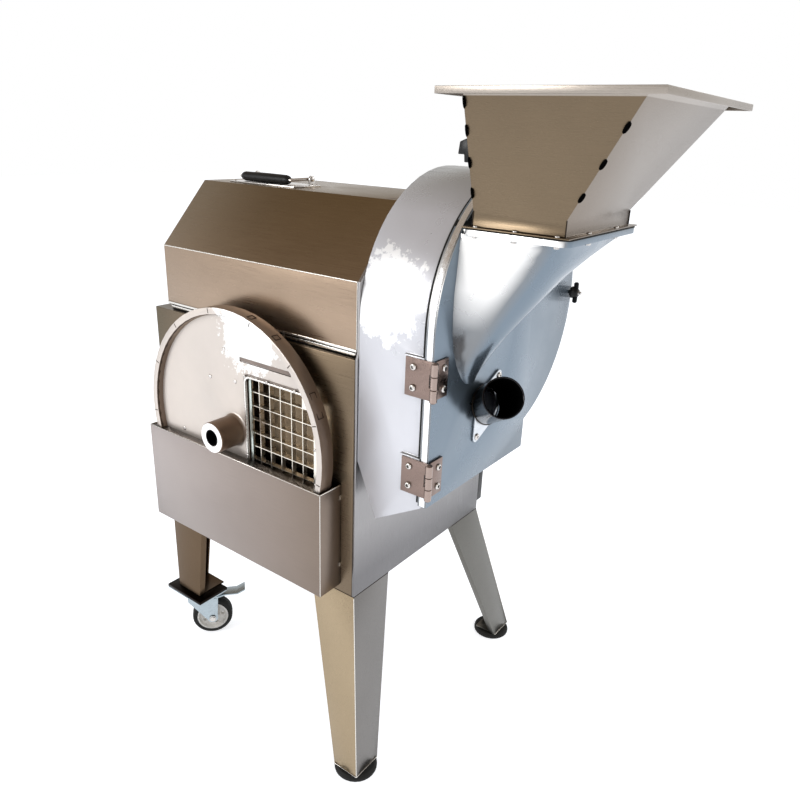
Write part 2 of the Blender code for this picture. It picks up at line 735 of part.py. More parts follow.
def make_legs():
    foot_z = FOOT_HEIGHT + GAP + 0.0005
    widths = (LEG_FOOT_WIDTH_X, LEG_FOOT_WIDTH_Y)
    for name, y, side in (("front", 0, 1), ("rear", CABINET_DEPTH, -1)):
        splay_y = y - side * LEG_SPLAY_Y if side == 1 else y + LEG_SPLAY_Y
        foot = (LEG_SPLAY_X, splay_y)
        leg = make_leg(f"leg_{name}_right", (0, y), foot, -1, side, LEG_TOP_WIDTH, widths, foot_z)
        middle = (foot[0] - widths[0] / 2, foot[1] + side * widths[1] / 2)
        cut(leg, rod(f"stud_hole_{name}", (*middle, 0), (*middle, foot_z + 0.01), FOOT_STUD + GAP,
                     steps=16))
        make_foot(f"foot_{name}_right", middle)
    sole_low = CASTER_HEIGHT + GAP
    left_foot_z = sole_low + CASTER_SOLE - 0.001
    widths = (LEFT_LEG_FOOT_WIDTH, LEFT_LEG_FOOT_WIDTH)
    for name, y, side in (("front", 0, 1), ("rear", CABINET_DEPTH, -1)):
        corner = (-CABINET_WIDTH, y)
        leg = make_leg(f"leg_{name}_left", corner, corner, 1, side, LEFT_LEG_TOP_WIDTH, widths,
                       left_foot_z)
        centre = (-CABINET_WIDTH + CASTER_IN_X, y + side * CASTER_IN_Y)
        length, width = CASTER_PLATE[:2]
        join(leg, block(f"caster_sole_{name}", (centre[0] - length / 2, centre[1] - width / 2, sole_low),
                        (centre[0] + length / 2, centre[1] + width / 2, sole_low + CASTER_SOLE)))
        make_caster(name, centre)


def make_caster(name, centre):
    length, width, thick = CASTER_PLATE
    home = empty(f"caster_{name}_pivot", (*centre, 0), MACHINE)
    top = CASTER_HEIGHT
    race_low = top - 0.015
    plate = block(f"caster_plate_{name}", (-length / 2, -width / 2, top - thick),
                  (length / 2, width / 2, top), home, ZINC)
    race = turned(f"caster_race_{name}", [(0.022, top - 0.001), (0.027, race_low + 0.004),
                                          (0.024, race_low), (0.0064, race_low),
                                          (0.0064, top - 0.001)], (0, 0, 0), "Z", home, None, 24)
    join(plate, race)
    swivel = empty(f"caster_{name}_swivel", (0, 0, 0), home, (0, 0, CASTER_HEADING))
    half = WHEEL_WIDTH / 2 + 0.0025
    outer = half + FORK_SHEET
    crown_top = race_low - GAP
    crown_low = crown_top - 0.0045
    nose, heel = -0.022, CASTER_TRAIL + 0.014
    inset = FORK_SHEET / 3
    fork = block(f"caster_fork_{name}", (nose + inset, inset - outer, crown_low),
                 (heel - 0.020, outer - inset, crown_top), swivel, ZINC)
    kingpin = rod(f"kingpin_{name}", (0, 0, crown_low + 0.001), (0, 0, crown_top + 0.009), 0.006, swivel,
                  steps=16)
    join(fork, kingpin)
    axle_z = WHEEL_RADIUS
    for side in (-1, 1):
        brow = crown_top - inset
        outline = [(nose, brow), (nose, brow - 0.007)]
        outline += arc((CASTER_TRAIL, axle_z), 0.012, 200, 380, 10)
        outline += [(heel, brow - 0.009), (heel, brow)]
        cheek = extruded(f"fork_cheek_{name}_{side}", [outline], "xz",
                         (min(side * half, side * outer), max(side * half, side * outer)), swivel)
        join(fork, cheek)
    head = outer + 0.004
    reach = outer + 0.001
    join(fork, rod(f"axle_{name}", (CASTER_TRAIL, -reach, axle_z), (CASTER_TRAIL, reach, axle_z),
                   AXLE_RADIUS, swivel, steps=16))
    for side in (-1, 1):
        join(fork, rod(f"axle_head_{name}_{side}", (CASTER_TRAIL, side * (outer - 0.001), axle_z),
                       (CASTER_TRAIL, side * head, axle_z), 0.007, swivel, steps=6))
    pedal_x, pedal_z = CASTER_TRAIL + 0.008, crown_top - 0.0065
    pedal_hole = rod(f"pedal_hole_{name}", (pedal_x, -0.03, pedal_z), (pedal_x, 0.03, pedal_z),
                     0.0025 + GAP, swivel, steps=16)
    cut(fork, pedal_hole)
    make_wheel(name, swivel, axle_z)
    make_pedal(name, swivel, pedal_x, pedal_z, outer)


def make_wheel(name, swivel, axle_z):
    half = WHEEL_WIDTH / 2
    inner = WHEEL_RADIUS - TYRE_THICKNESS
    turned(f"caster_tyre_{name}", [(WHEEL_RADIUS - 0.005, half), (WHEEL_RADIUS, half - 0.006),
                                   (WHEEL_RADIUS, -half + 0.006), (WHEEL_RADIUS - 0.005, -half),
                                   (inner, -half), (inner, half)],
           (CASTER_TRAIL, 0, axle_z), "Y", swivel, RUBBER, 32)
    rim = inner - GAP
    hub = half + 0.002
    web = 0.006
    flange = half - 0.001
    turned(f"caster_wheel_{name}", [(0.014, hub), (0.014, web), (rim - 0.006, web), (rim, flange),
                                    (rim, -flange), (rim - 0.006, -web), (0.014, -web), (0.014, -hub),
                                    (AXLE_RADIUS + GAP, -hub), (AXLE_RADIUS + GAP, hub)],
           (CASTER_TRAIL, 0, axle_z), "Y", swivel, NYLON, 24)


def make_pedal(name, swivel, x, z, outer):
    """Brake pedal: a folded plate on a pin through the fork's cheeks."""
    wide = WHEEL_WIDTH / 2
    home = empty(f"caster_{name}_pedal_axis", (x, 0, z), swivel)
    path = [(-0.010, 0), (0.008, 0), (0.020, 0.004), (0.050, 0.004), (0.068, 0.013)]
    pedal = sheet_piece(f"caster_brake_{name}", path, "xz", (-wide, wide), 0.003, home, ZINC, 0)
    pin = rod(f"pedal_pin_{name}", (0, -outer - 0.001, 0), (0, outer + 0.001, 0), 0.0025, home, steps=16)
    join(pedal, pin)


# Cast housing, door and what they carry

def housing_outline(radius, low):
    """The round housing with its straight discharge neck, in (y, z), for a given radius."""
    grown = radius - HOUSING_RADIUS
    neck = SHAFT_Y - HOUSING_RADIUS + NECK_WIDTH + grown
    end = math.degrees(math.acos((neck - SHAFT_Y) / radius))
    points = [(SHAFT_Y - radius, low)]
    points += arc((SHAFT_Y, SHAFT_Z), radius, 180, -end, 40)
    points.append((neck, low))
    return points


def make_casing():
    front = HOUSING_DEPTH
    back = GAP
    low = MOUTH_LOW_Z - 0.03
    casing = extruded("casing", [housing_outline(HOUSING_RADIUS, low)], "yz", (back, front), paint=CAST)
    near = SHAFT_Y - HOUSING_RADIUS
    seat = hinge_seat()
    for index, z in enumerate(HINGE_LOWS):
        boss = block(f"hinge_boss_{index}", (front - HINGE_BACK - 0.006, seat + GAP, z - 0.002),
                     (front, near + 0.004, z + HINGE_HEIGHT + 0.002))
        join(casing, boss)
    slope = Vector((MOUTH_LOW_X - back, MOUTH_LOW_Z - MOUTH_BACK_Z)).normalized()
    inward = Vector((-slope.y, slope.x)) * HOUSING_WALL
    upper = Vector((back, MOUTH_BACK_Z)) + inward
    corner_z = upper.y + (back + HOUSING_WALL - upper.x) * slope.y / slope.x
    lower = Vector((MOUTH_LOW_X, MOUTH_LOW_Z)) + inward + slope * 0.06
    side_view = [(back + HOUSING_WALL, 1.2), (back + HOUSING_WALL, corner_z), tuple(lower),
                 (front + 0.02, lower.y), (front + 0.02, 1.2)]
    room = extruded("casing_room", [housing_outline(HOUSING_RADIUS - HOUSING_WALL, low - 0.05)], "yz",
                    (back + HOUSING_WALL / 2, front + 0.01))
    across = (SHAFT_Y - 1.5 * HOUSING_RADIUS, SHAFT_Y + 1.5 * HOUSING_RADIUS)
    keep(room, extruded("casing_room_side", [side_view], "xz", across))
    under = [(-0.05, MOUTH_BACK_Z), (back, MOUTH_BACK_Z), (MOUTH_LOW_X, MOUTH_LOW_Z),
             (front, MOUTH_FRONT_Z), (front + 0.05, MOUTH_FRONT_Z), (front + 0.05, 0.4), (-0.05, 0.4)]
    mouth = extruded("casing_mouth", [under], "xz", across)
    bore = rod("casing_bore", (-0.02, SHAFT_Y, SHAFT_Z), (0.03, SHAFT_Y, SHAFT_Z), SPIGOT_RADIUS + GAP,
               steps=24)
    cut(casing, room, mouth, bore)


def door_face():
    return HOUSING_DEPTH + GAP + DOOR_THICKNESS


def door_radius():
    return HOUSING_RADIUS + DOOR_PROUD


# Chute stations from the toe up: drop below the flange's top, near edge, far edge, reach from the
# door's face, squareness.
CHUTE_STATIONS = [
    (0.242, 0.088, 0.110, 0.007, 2.0),
    (0.228, 0.074, 0.113, 0.014, 2.0),
    (0.209, 0.061, 0.114, 0.027, 2.0),
    (0.182, 0.048, 0.118, 0.045, 2.0),
    (0.152, 0.042, 0.130, 0.064, 2.0),
    (0.122, 0.040, 0.152, 0.084, 2.2),
    (0.092, 0.040, 0.176, 0.104, 2.4),
    (0.062, 0.043, 0.197, 0.124, 2.8),
    (0.036, 0.045, 0.232, 0.142, 3.6),
    (0.018, 0.046, 0.268, 0.153, 5.0),
    (0.007, 0.047, 0.288, 0.159, 8.0),
]


def chute_ring(station, back_x, inset, lift, count=12):
    """One closed section: half a squared ellipse standing on the door, closed behind its face."""
    drop, near, far, reach, square = station
    z = FLANGE_TOP - drop + lift
    middle = (near + far) / 2
    half = (far - near) / 2 - inset
    out = reach - inset
    face = door_face()
    ring = []
    for i in range(count + 1):
        angle = math.pi * (i / count - 0.5)
        side = math.copysign(abs(math.sin(angle)) ** (2 / square), angle)
        ring.append((face + out * abs(math.cos(angle)) ** (2 / square), middle + half * side, z))
    ring.append((back_x, middle + half, z))
    ring.append((back_x, middle - half, z))
    return ring


def flange_rectangle(inset):
    left = door_face() + FLANGE_LEFT_GAP
    return rectangle(left + inset, left + FLANGE_LENGTH - inset, FLANGE_FRONT + inset,
                     FLANGE_REAR - inset)


def port_direction():
    tilt = math.radians(PORT_TILT)
    side = math.radians(PORT_TILT_SIDE)
    return Vector((math.cos(tilt), math.sin(tilt) * math.cos(side), math.sin(tilt) * math.sin(side)))


def make_door():
    """Cast door: a shallow dish with the chute and its flange in one casting."""
    back, face = HOUSING_DEPTH + GAP, door_face()
    radius = door_radius()
    door = extruded("door", [housing_outline(radius, DOOR_BOTTOM)], "yz", (back, face), paint=CAST)
    dish = extruded("door_dish", [housing_outline(radius - HOUSING_WALL - DOOR_PROUD, DOOR_BOTTOM + 0.006)],
                    "yz", (back - 0.01, face - DOOR_WALL))
    inside = face - DOOR_WALL
    chute = loft("chute", [chute_ring(s, inside + 0.002, 0, 0) for s in CHUTE_STATIONS])
    flange_low = FLANGE_TOP - FLANGE_THICKNESS
    flange = extruded("chute_flange", [rounded(flange_rectangle(0), FLANGE_CORNER, 4)], "xy",
                      (flange_low, FLANGE_TOP))
    strip = block("flange_root", (inside + 0.002, FLANGE_FRONT + 0.01, flange_low - 0.004),
                  (face + 0.02, FLANGE_REAR - 0.02, FLANGE_TOP - 0.001))
    stations = [s for s in CHUTE_STATIONS if s[3] > 2 * CHUTE_WALL - 0.002]
    lift = CHUTE_WALL * 0.8
    rings = [chute_ring(s, back - 0.02, CHUTE_WALL, lift) for s in stations]
    top = stations[-1]
    rings.append(chute_ring((-0.01, *top[1:]), back - 0.02, CHUTE_WALL, 0))
    passage = loft("chute_passage", rings)
    cut(door, dish)
    join(door, chute, strip, flange)
    port = Vector((face, PORT_Y, PORT_Z))
    way = port_direction()
    port_hole = rod("port_hole", port - way * 2 * PORT_STUB, port + way * 0.10, PORT_RADIUS + GAP, steps=32)
    notch_low = SHAFT_Z - LATCH_ROD - 0.0015
    notch = block("latch_notch", (back - 0.01, latch_y() - LATCH_ROD - 0.0015, notch_low),
                  (face + 0.01, latch_y() + 0.05, notch_low + 2 * LATCH_ROD + 0.003))
    cut(door, passage, port_hole, notch)


def make_port():
    """Slanted round feed tube on a two-bolt plate; the bolts lie across the tube's slant."""
    face = door_face()
    way = port_direction()
    base = Vector((face, PORT_Y, PORT_Z))
    mouth = base + way * PORT_LENGTH
    tube = rod("feed_tube", base - way * PORT_STUB, mouth, PORT_RADIUS, paint=STAINLESS, steps=32)
    across = Vector((0, -math.sin(math.radians(PORT_TILT_SIDE)), math.cos(math.radians(PORT_TILT_SIDE))))
    angle = math.degrees(math.atan2(across.z, across.y))
    centre = Vector((PORT_Y, PORT_Z))
    bolt = Vector((across.y, across.z)) * PORT_BOLT_SPREAD
    outline = arc(centre + bolt, 0.009, angle - 70, angle + 70, 6)
    outline += arc(centre, PORT_RADIUS + 0.006, angle + 60, angle + 120, 5)
    outline += arc(centre - bolt, 0.009, angle + 110, angle + 250, 6)
    outline += arc(centre, PORT_RADIUS + 0.006, angle + 240, angle + 300, 5)
    plate = extruded("port_plate", [outline], "yz", (face + GAP, face + GAP + PORT_PLATE))
    join(tube, plate)
    inner = PORT_RADIUS - PORT_WALL
    bore = rod("feed_tube_bore", base - way * 0.08, mouth + way * 0.02, inner, steps=32)
    inside = face - DOOR_WALL
    trim = block("feed_tube_trim", (inside - 0.05, PORT_Y - 0.1, PORT_Z - 0.1),
                 (inside, PORT_Y + 0.1, PORT_Z + 0.1))
    cut(tube, bore, trim)


def make_hopper():
    seat = FLANGE_TOP + GAP
    corners = [Vector(point) for point in flange_rectangle(0)]
    opening = flange_rectangle(NECK_INSET + SHEET)
    extruded("hopper_gasket", [rounded(flange_rectangle(0), FLANGE_CORNER, 3), opening], "xy",
             (seat, seat + GASKET), paint=RUBBER)
    low = seat + GASKET + GAP
    neck = flange_rectangle(NECK_INSET)
    x0, y0 = neck[0]
    x1, y1 = neck[2]
    wall = rectangle(x0 + HOPPER_SIDE_FLARE, x1 + HOPPER_REACH, y0 - HOPPER_FRONT_FLARE,
                     y1 + HOPPER_REAR_FLARE)
    wx0, wy0 = wall[0]
    wx1, wy1 = wall[2]
    lip = rectangle(wx0 - LIP_WIDTH, wx1 + LIP_WIDTH, wy0 - LIP_WIDTH, wy1 + LIP_WIDTH)
    rim = FLANGE_TOP + HOPPER_RISE
    levels = [(corners, low + SHEET), (neck, low + SHEET), (neck, low + NECK_HEIGHT), (wall, rim),
              (lip, rim), (lip, rim - LIP_DROP + SHEET)]
    bm = bmesh.new()
    rows = [[bm.verts.new((x, y, z)) for x, y in outline] for outline, z in levels]
    for lower, upper in zip(rows, rows[1:]):
        for i in range(4):
            k = (i + 1) % 4
            bm.faces.new((lower[i], lower[k], upper[k], upper[i]))
    mesh = bpy.data.meshes.new("hopper")
    bm.to_mesh(mesh)
    bm.free()
    hopper = add_object("hopper", mesh, None, STAINLESS)
    shell = hopper.modifiers.new("sheet", "SOLIDIFY")
    shell.solidify_mode = "NON_MANIFOLD"
    shell.nonmanifold_thickness_mode = "CONSTRAINTS"
    shell.nonmanifold_merge_threshold = 0.00001
    shell.thickness = SHEET
    shell.offset = -1
    make_hopper_block(x0, y0, low + NECK_HEIGHT)


def make_hopper_block(x, y, z):
    """Black stepped block on the hopper's side wall, by its front edge."""
    lean = HOPPER_SIDE_FLARE / (FLANGE_TOP + HOPPER_RISE - z)
    low, high = z + 0.064, z + 0.094
    wall_low, wall_high = x + lean * (low - z), x + lean * (high - z)
    gap = GAP * 2
    outline = [(wall_low - gap, low), (wall_high - gap, high), (wall_high - 0.008, high),
               (wall_high - 0.018, high - 0.004), (wall_high - 0.020, high - 0.020),
               (wall_low - 0.009, high - 0.020), (wall_low - 0.008, low)]
    front = y - HOPPER_FRONT_FLARE * 0.62
    piece = extruded("hopper_sensor", [outline], "xz", (front + 0.012, front + 0.040), paint=PLASTIC)
    soften(piece, 0.0012)


def soften(piece, width, segments=2):
    bevel = piece.modifiers.new("rounding", "BEVEL")
    bevel.width = width
    bevel.segments = segments
    bevel.limit_method = "ANGLE"
    bevel.angle_limit = math.radians(50)


def hinge_seat():
    """The plane on which both hinges' casing leaves lie, just clear of the door's edge."""
    return SHAFT_Y - door_radius() - GAP


def hinge_axis():
    return door_face() + HINGE_PIN_X, hinge_seat() - HINGE_PIN_OUT


def make_door_hinges():
    seat = hinge_seat()
    px, py = hinge_axis()
    third = HINGE_HEIGHT / 3
    room = 0.0002
    face = door_face() + GAP
    for index, z in enumerate(HINGE_LOWS):
        name = ("lower", "upper")[index]
        top = z + HINGE_HEIGHT
        left = HOUSING_DEPTH - HINGE_BACK
        casing_leaf = block(f"hinge_casing_leaf_{name}", (left, seat - HINGE_LEAF, z),
                            (px - HINGE_BARREL - 0.005, seat, top), paint=BRIGHT)
        bore = rod(f"hinge_bore_{name}", (px, py, z - 0.01), (px, py, top + 0.01), HINGE_PIN + GAP,
                   steps=16)
        for end, (a, b) in enumerate(((z, z + third - room), (top - third + room, top))):
            knuckle = rod(f"casing_knuckle_{name}_{end}", (px, py, a), (px, py, b), HINGE_BARREL,
                          steps=16)
            tongue = block(f"casing_tongue_{name}_{end}", (px - HINGE_BARREL - 0.006, seat - HINGE_LEAF, a),
                           (px - 0.001, seat, b))
            join(casing_leaf, tongue, knuckle)
        pin = rod(f"hinge_pin_{name}", (px, py, z), (px, py, top + 0.002), HINGE_PIN, steps=16)
        join(casing_leaf, pin)
        inner = SHAFT_Y - door_radius() + 0.003
        door_leaf = block(f"hinge_door_leaf_{name}", (face, inner, z),
                          (face + HINGE_LEAF, inner + HINGE_FACE, top), paint=BRIGHT)
        a, b = z + third + room, top - third - room
        barrel = rod(f"door_knuckle_{name}", (px, py, a), (px, py, b), HINGE_BARREL, steps=16)
        tongue = block(f"door_tongue_{name}", (face, py, a), (face + HINGE_LEAF, inner + 0.002, b))
        join(door_leaf, tongue, barrel)
        cut(door_leaf, bore)


def latch_y():
    return SHAFT_Y + door_radius() + 0.0005


def make_latch():
    """Swing bolt: an eye bolt on the casing swings into a notch in the door's edge, with a wing knob."""
    y, z, x = latch_y(), SHAFT_Z, LATCH_PIVOT_X
    skin = SHAFT_Y + HOUSING_RADIUS
    base = block("latch_bracket", (x - 0.030, skin + GAP, z - 0.020), (x - 0.010, skin + 0.003, z + 0.020),
                 paint=BRIGHT)
    eye = 0.0055
    for side in (-1, 1):
        a, b = z + side * (eye + 0.0005), z + side * (eye + 0.0035)
        root = skin + 0.0015
        outline = [(x - 0.028, root), (x - 0.028, y - 0.002), (x - 0.018, y + 0.002)]
        outline += arc((x, y), eye, 90, -40, 7)
        ear = extruded(f"latch_ear_{side}", [outline + [(x - 0.012, root)]], "xy",
                       (min(a, b), max(a, b)))
        join(base, ear)
    pin = rod("latch_pin", (x, y, z - eye - 0.006), (x, y, z + eye + 0.006), 0.0025, steps=16)
    join(base, pin)
    home = empty("latch_axis", (x, y, z), MACHINE)
    reach = door_face() + GAP * 2 + LATCH_KNOB_LENGTH + 0.006 - x
    bolt = rod("latch_bolt", (0, 0, -eye), (0, 0, eye), eye, home, BRIGHT, 20)
    stem = rod("latch_stem", (0.003, 0, 0), (reach, 0, 0), LATCH_ROD, home, steps=16)
    hole = rod("latch_eye_hole", (0, 0, -0.02), (0, 0, 0.02), 0.0025 + GAP, home, steps=16)
    join(bolt, stem)
    cut(bolt, hole)
    foot = door_face() + GAP * 2 - x
    end = foot + LATCH_KNOB_LENGTH
    r = LATCH_KNOB_RADIUS
    knob = turned("latch_knob", [(r * 0.7, end), (r, foot + 0.006), (r, foot), (LATCH_ROD + GAP, foot),
                                 (LATCH_ROD + GAP, end)], (0, 0, 0), "X", home, PLASTIC, 20)
    wings = block("latch_wings", (foot + 0.004, -0.0025, -0.021), (end - 0.001, 0.0025, 0.021), home)
    wing_hole = rod("wing_hole", (foot - 0.01, 0, 0), (end + 0.01, 0, 0), LATCH_ROD + GAP, home, steps=20)
    join(knob, wings)
    cut(knob, wing_hole)


# Drive

def make_bearing_housing():
    back = -END_PLATE - GAP
    front = HOUSING_WALL
    tube_back = back - HOUSING_TUBE
    lip = back - 0.006
    bore = BEARING_RADIUS + GAP
    outer = BEARING_RADIUS + 0.009
    flange = outer + 0.010
    flange_back = back - 0.010
    profile = [(SPIGOT_RADIUS, front), (SPIGOT_RADIUS, back), (flange, back), (flange, flange_back),
               (outer, flange_back), (outer, tube_back), (bore, tube_back), (bore, lip), (0.020, lip),
               (0.020, front)]
    turned("bearing_housing", profile, (0, SHAFT_Y, SHAFT_Z), "X", None, CAST, 24)
    for name, x in (("front", lip - GAP), ("rear", tube_back + BEARING_WIDTH)):
        inner = SHAFT_RADIUS + GAP
        turned(f"bearing_{name}", [(BEARING_RADIUS, x), (BEARING_RADIUS, x - BEARING_WIDTH),
                                   (inner, x - BEARING_WIDTH), (inner, x)],
               (0, SHAFT_Y, SHAFT_Z), "X", None, BRIGHT, 24)


def make_cutter():
    """Main shaft with its disc carrier, the slicing disc, knives, nut and driven pulley."""
    centre = (0, SHAFT_Y, SHAFT_Z)
    back = SLICER_X - GAP
    front = SLICER_X + SLICER_THICKNESS
    thread = 0.010
    turned("main_shaft", [(0, front + 0.011), (thread, front + 0.011), (thread, back),
                          (DISC_CARRIER_RADIUS, back), (DISC_CARRIER_RADIUS, back - 0.008),
                          (0.024, back - 0.014), (0.024, back - 0.034), (SHAFT_RADIUS, back - 0.036),
                          (SHAFT_RADIUS, PULLEY_X - 0.006), (0, PULLEY_X - 0.006)],
           centre, "X", None, BRIGHT, 24)
    disc = turned("slicing_disc", [(SLICER_RADIUS - 0.001, front), (SLICER_RADIUS, front - 0.001),
                                   (SLICER_RADIUS, SLICER_X), (thread + GAP, SLICER_X),
                                   (thread + GAP, front)], centre, "X", None, CAST, 48)
    nut = front + GAP
    turned("disc_nut", [(0.0135, nut + 0.009), (0.022, nut + 0.004), (0.022, nut), (thread + GAP, nut),
                        (thread + GAP, nut + 0.009)], centre, "X", None, BRIGHT, 24)
    for index, side in enumerate((1, -1)):
        make_knife(disc, index + 1, side, front)
    make_pulley("driven_pulley", (0, SHAFT_Y, SHAFT_Z), DRIVEN_RADIUS, SHAFT_RADIUS, 32)


def make_knife(disc, index, side, front):
    """A radial slot in the disc with its knife lying over it, its edge raised for the slice."""
    inner = KNIFE_INNER
    slot_low = SHAFT_Y + min(side * inner, side * (inner + KNIFE_LENGTH))
    slot_high = SHAFT_Y + max(side * inner, side * (inner + KNIFE_LENGTH))
    mid_z = SHAFT_Z
    slot = block(f"knife_slot_{index}", (SLICER_X - 0.01, slot_low, mid_z - side * 0.004 - 0.007),
                 (front + 0.01, slot_high, mid_z - side * 0.004 + 0.007))
    cut(disc, slot)
    lift = front + GAP
    outline = [(lift, mid_z + side * 0.004), (lift + 0.006, mid_z - side * 0.002),
               (lift + 0.0075, mid_z - side * 0.002), (lift + 0.0025, mid_z + side * 0.010),
               (lift + 0.0025, mid_z + side * KNIFE_WIDTH), (lift, mid_z + side * KNIFE_WIDTH)]
    extruded(f"slicing_knife_{index}", [outline], "xz", (slot_low, slot_high), paint=BRIGHT)


def make_pulley(name, centre, radius, shaft, steps):
    root = radius - BELT_DEPTH - 0.003
    x = PULLEY_X
    bore = shaft + GAP
    flank = (PULLEY_WIDTH - BELT_WIDTH) / 2 - 0.0006
    groove_foot = flank + 0.0022
    return turned(name, [(radius, x + PULLEY_WIDTH), (radius, x + PULLEY_WIDTH - flank),
                         (root, x + PULLEY_WIDTH - groove_foot), (root, x + groove_foot),
                         (radius, x + flank), (radius, x), (bore, x), (bore, x + PULLEY_WIDTH)],
                  centre, "X", None, GREY_PAINT, steps)


def belt_loop(inset):
    """The belt's path in (y, z) round both pulleys, at a depth inside their rims."""
    big = DRIVEN_RADIUS - inset
    small = MOTOR_PULLEY_RADIUS - inset
    lean = math.degrees(math.asin((big - small) / (SHAFT_Z - MOTOR_Z)))
    upper = arc((SHAFT_Y, SHAFT_Z), big, -lean, 180 + lean, 20)
    lower = arc((SHAFT_Y, MOTOR_Z), small, 180 + lean, 360 - lean, 12)
    return upper + lower


def make_belt():
    middle = PULLEY_X + PULLEY_WIDTH / 2
    outer, inner = belt_loop(0.001), belt_loop(0.001 + BELT_DEPTH)
    wide, narrow = BELT_WIDTH / 2 - 0.0005, BELT_WIDTH / 2 - 0.0026
    rings = []
    for (oy, oz), (iy, iz) in zip(outer, inner):
        rings.append([(middle - wide, oy, oz), (middle + wide, oy, oz), (middle + narrow, iy, iz),
                      (middle - narrow, iy, iz)])
    loft("drive_belt", rings, None, RUBBER, closed=True)


def make_motor():
    """Foot-mounted motor on the cabinet floor, its pulley in line with the driven one."""
    front = PULLEY_X - 0.012
    back = front - MOTOR_LENGTH
    centre = (0, SHAFT_Y, MOTOR_Z)
    r = MOTOR_RADIUS
    bore = MOTOR_SHAFT + GAP
    motor = turned("motor", [(0.030, front), (r - 0.008, front - 0.006), (r, front - 0.014),
                             (r, back + 0.040), (r - 0.004, back + 0.038), (r - 0.004, back),
                             (0, back), (0, front - 0.040), (bore, front - 0.040), (bore, front)],
                   centre, "X", None, GREY_PAINT, 28)
    base_top = CABINET_BOTTOM + FLOOR_SHEET + GAP + MOTOR_BASE
    seat = base_top + GAP
    half_thick, half_wide = MOTOR_FOOT_THICKNESS / 2, MOTOR_FOOT_WIDTH / 2
    for index, x in enumerate((front - MOTOR_FOOT_INSET, back + MOTOR_FOOT_INSET)):
        foot = block(f"motor_foot_{index}", (x - half_thick, SHAFT_Y - half_wide, seat),
                     (x + half_thick, SHAFT_Y + half_wide, MOTOR_Z - r * 0.75))
        join(motor, foot)
    half_deep, half_wide = TERMINAL_BOX_DEPTH / 2, TERMINAL_BOX_WIDTH / 2
    box = block("motor_terminal_box", (back + MOTOR_FOOT_INSET, SHAFT_Y - r - half_deep, MOTOR_Z - half_wide),
                (front - TERMINAL_BOX_INSET, SHAFT_Y - r + half_deep, MOTOR_Z + half_wide))
    join(motor, box)
    half_wide = MOTOR_BASE_WIDTH / 2
    block("motor_base", (back + MOTOR_BASE_INSET, SHAFT_Y - half_wide, base_top - MOTOR_BASE),
          (front - MOTOR_BASE_INSET, SHAFT_Y + half_wide, base_top), paint=STAINLESS)
    pulley = make_pulley("motor_pulley", centre, MOTOR_PULLEY_RADIUS, MOTOR_SHAFT / 2, 24)
    join(pulley, rod("motor_shaft", (PULLEY_X + PULLEY_WIDTH + 0.004, SHAFT_Y, MOTOR_Z),
                     (front - 0.039, SHAFT_Y, MOTOR_Z), MOTOR_SHAFT, steps=24))


def make_switch_box():
    """Push-button station on the cabinet's back, near its right end."""
    face = CABINET_DEPTH + GAP
    back = face + SWITCH_DEPTH
    right = SWITCH_LEFT + SWITCH_WIDTH
    top = SWITCH_BOTTOM + SWITCH_HEIGHT
    box = block("switch_box", (SWITCH_LEFT, face, SWITCH_BOTTOM), (right, back, top), paint=PLASTIC)
    soften(box, 0.003)
    x = SWITCH_LEFT + SWITCH_WIDTH / 2
    places = (("stop", SWITCH_BOTTOM + SWITCH_HEIGHT * 0.28, RED),
              ("start", SWITCH_BOTTOM + SWITCH_HEIGHT * 0.72, GREEN))
    for name, z, paint in places:
        hole = rod(f"{name}_hole", (x, back - 0.010, z), (x, back + 0.01, z), BUTTON_RADIUS + GAP * 2,
                   steps=24)
        cut(box, hole)
        r = BUTTON_RADIUS
        turned(f"{name}_button", [(0, BUTTON_PROUD), (r - 0.001, BUTTON_PROUD),
                                  (r, BUTTON_PROUD - 0.001), (r, -0.005), (0, -0.005)],
               (x, back, z), "Y", None, paint, 24)


def centre_on_floor():
    """Stand the machine with the middle of its whole box over the origin."""
    bpy.context.view_layer.update()
    graph = bpy.context.evaluated_depsgraph_get()
    low, high = Vector((9, 9, 9)), Vector((-9, -9, -9))
    for piece in PARTS.objects:
        seen = piece.evaluated_get(graph)
        mesh = seen.to_mesh()
        for vertex in mesh.vertices:
            point = seen.matrix_world @ vertex.co
            for i in range(3):
                low[i] = min(low[i], point[i])
                high[i] = max(high[i], point[i])
        seen.to_mesh_clear()
    MACHINE.location = (-(low.x + high.x) / 2, -(low.y + high.y) / 2, 0)
    print("machine origin at", tuple(round(value, 6) for value in MACHINE.location), "box", low, high)


make_cabinet()
make_service_panel()
make_end_plate()
make_hood()
for number, place in enumerate(HOOD_HINGE_XS, 1):
    make_hood_hinge(number, place)
make_handle()
make_pocket()
make_spare_disc()
make_legs()
make_casing()
make_door()
make_port()
make_hopper()
make_door_hinges()
make_latch()
make_bearing_housing()
make_cutter()
make_belt()
make_motor()
make_switch_box()
centre_on_floor()
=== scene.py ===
import math

import bmesh
import bpy
from mathutils import Matrix, Vector


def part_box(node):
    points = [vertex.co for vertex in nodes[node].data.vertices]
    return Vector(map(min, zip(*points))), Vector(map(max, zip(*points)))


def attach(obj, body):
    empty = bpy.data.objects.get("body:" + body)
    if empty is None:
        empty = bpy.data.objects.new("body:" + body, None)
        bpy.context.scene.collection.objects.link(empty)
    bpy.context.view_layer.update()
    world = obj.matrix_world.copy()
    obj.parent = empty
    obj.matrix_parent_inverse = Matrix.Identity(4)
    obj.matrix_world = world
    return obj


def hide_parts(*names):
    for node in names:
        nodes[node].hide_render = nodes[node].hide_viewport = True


# Looks for a floor-standing vegetable cutter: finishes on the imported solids, finer pieces, fittings,
# light and camera. Metres. Places are counted from the cabinet: x = 0 is its right face, y = 0 its
# front face, z = 0 the floor, and at() turns them into the model's own frame.

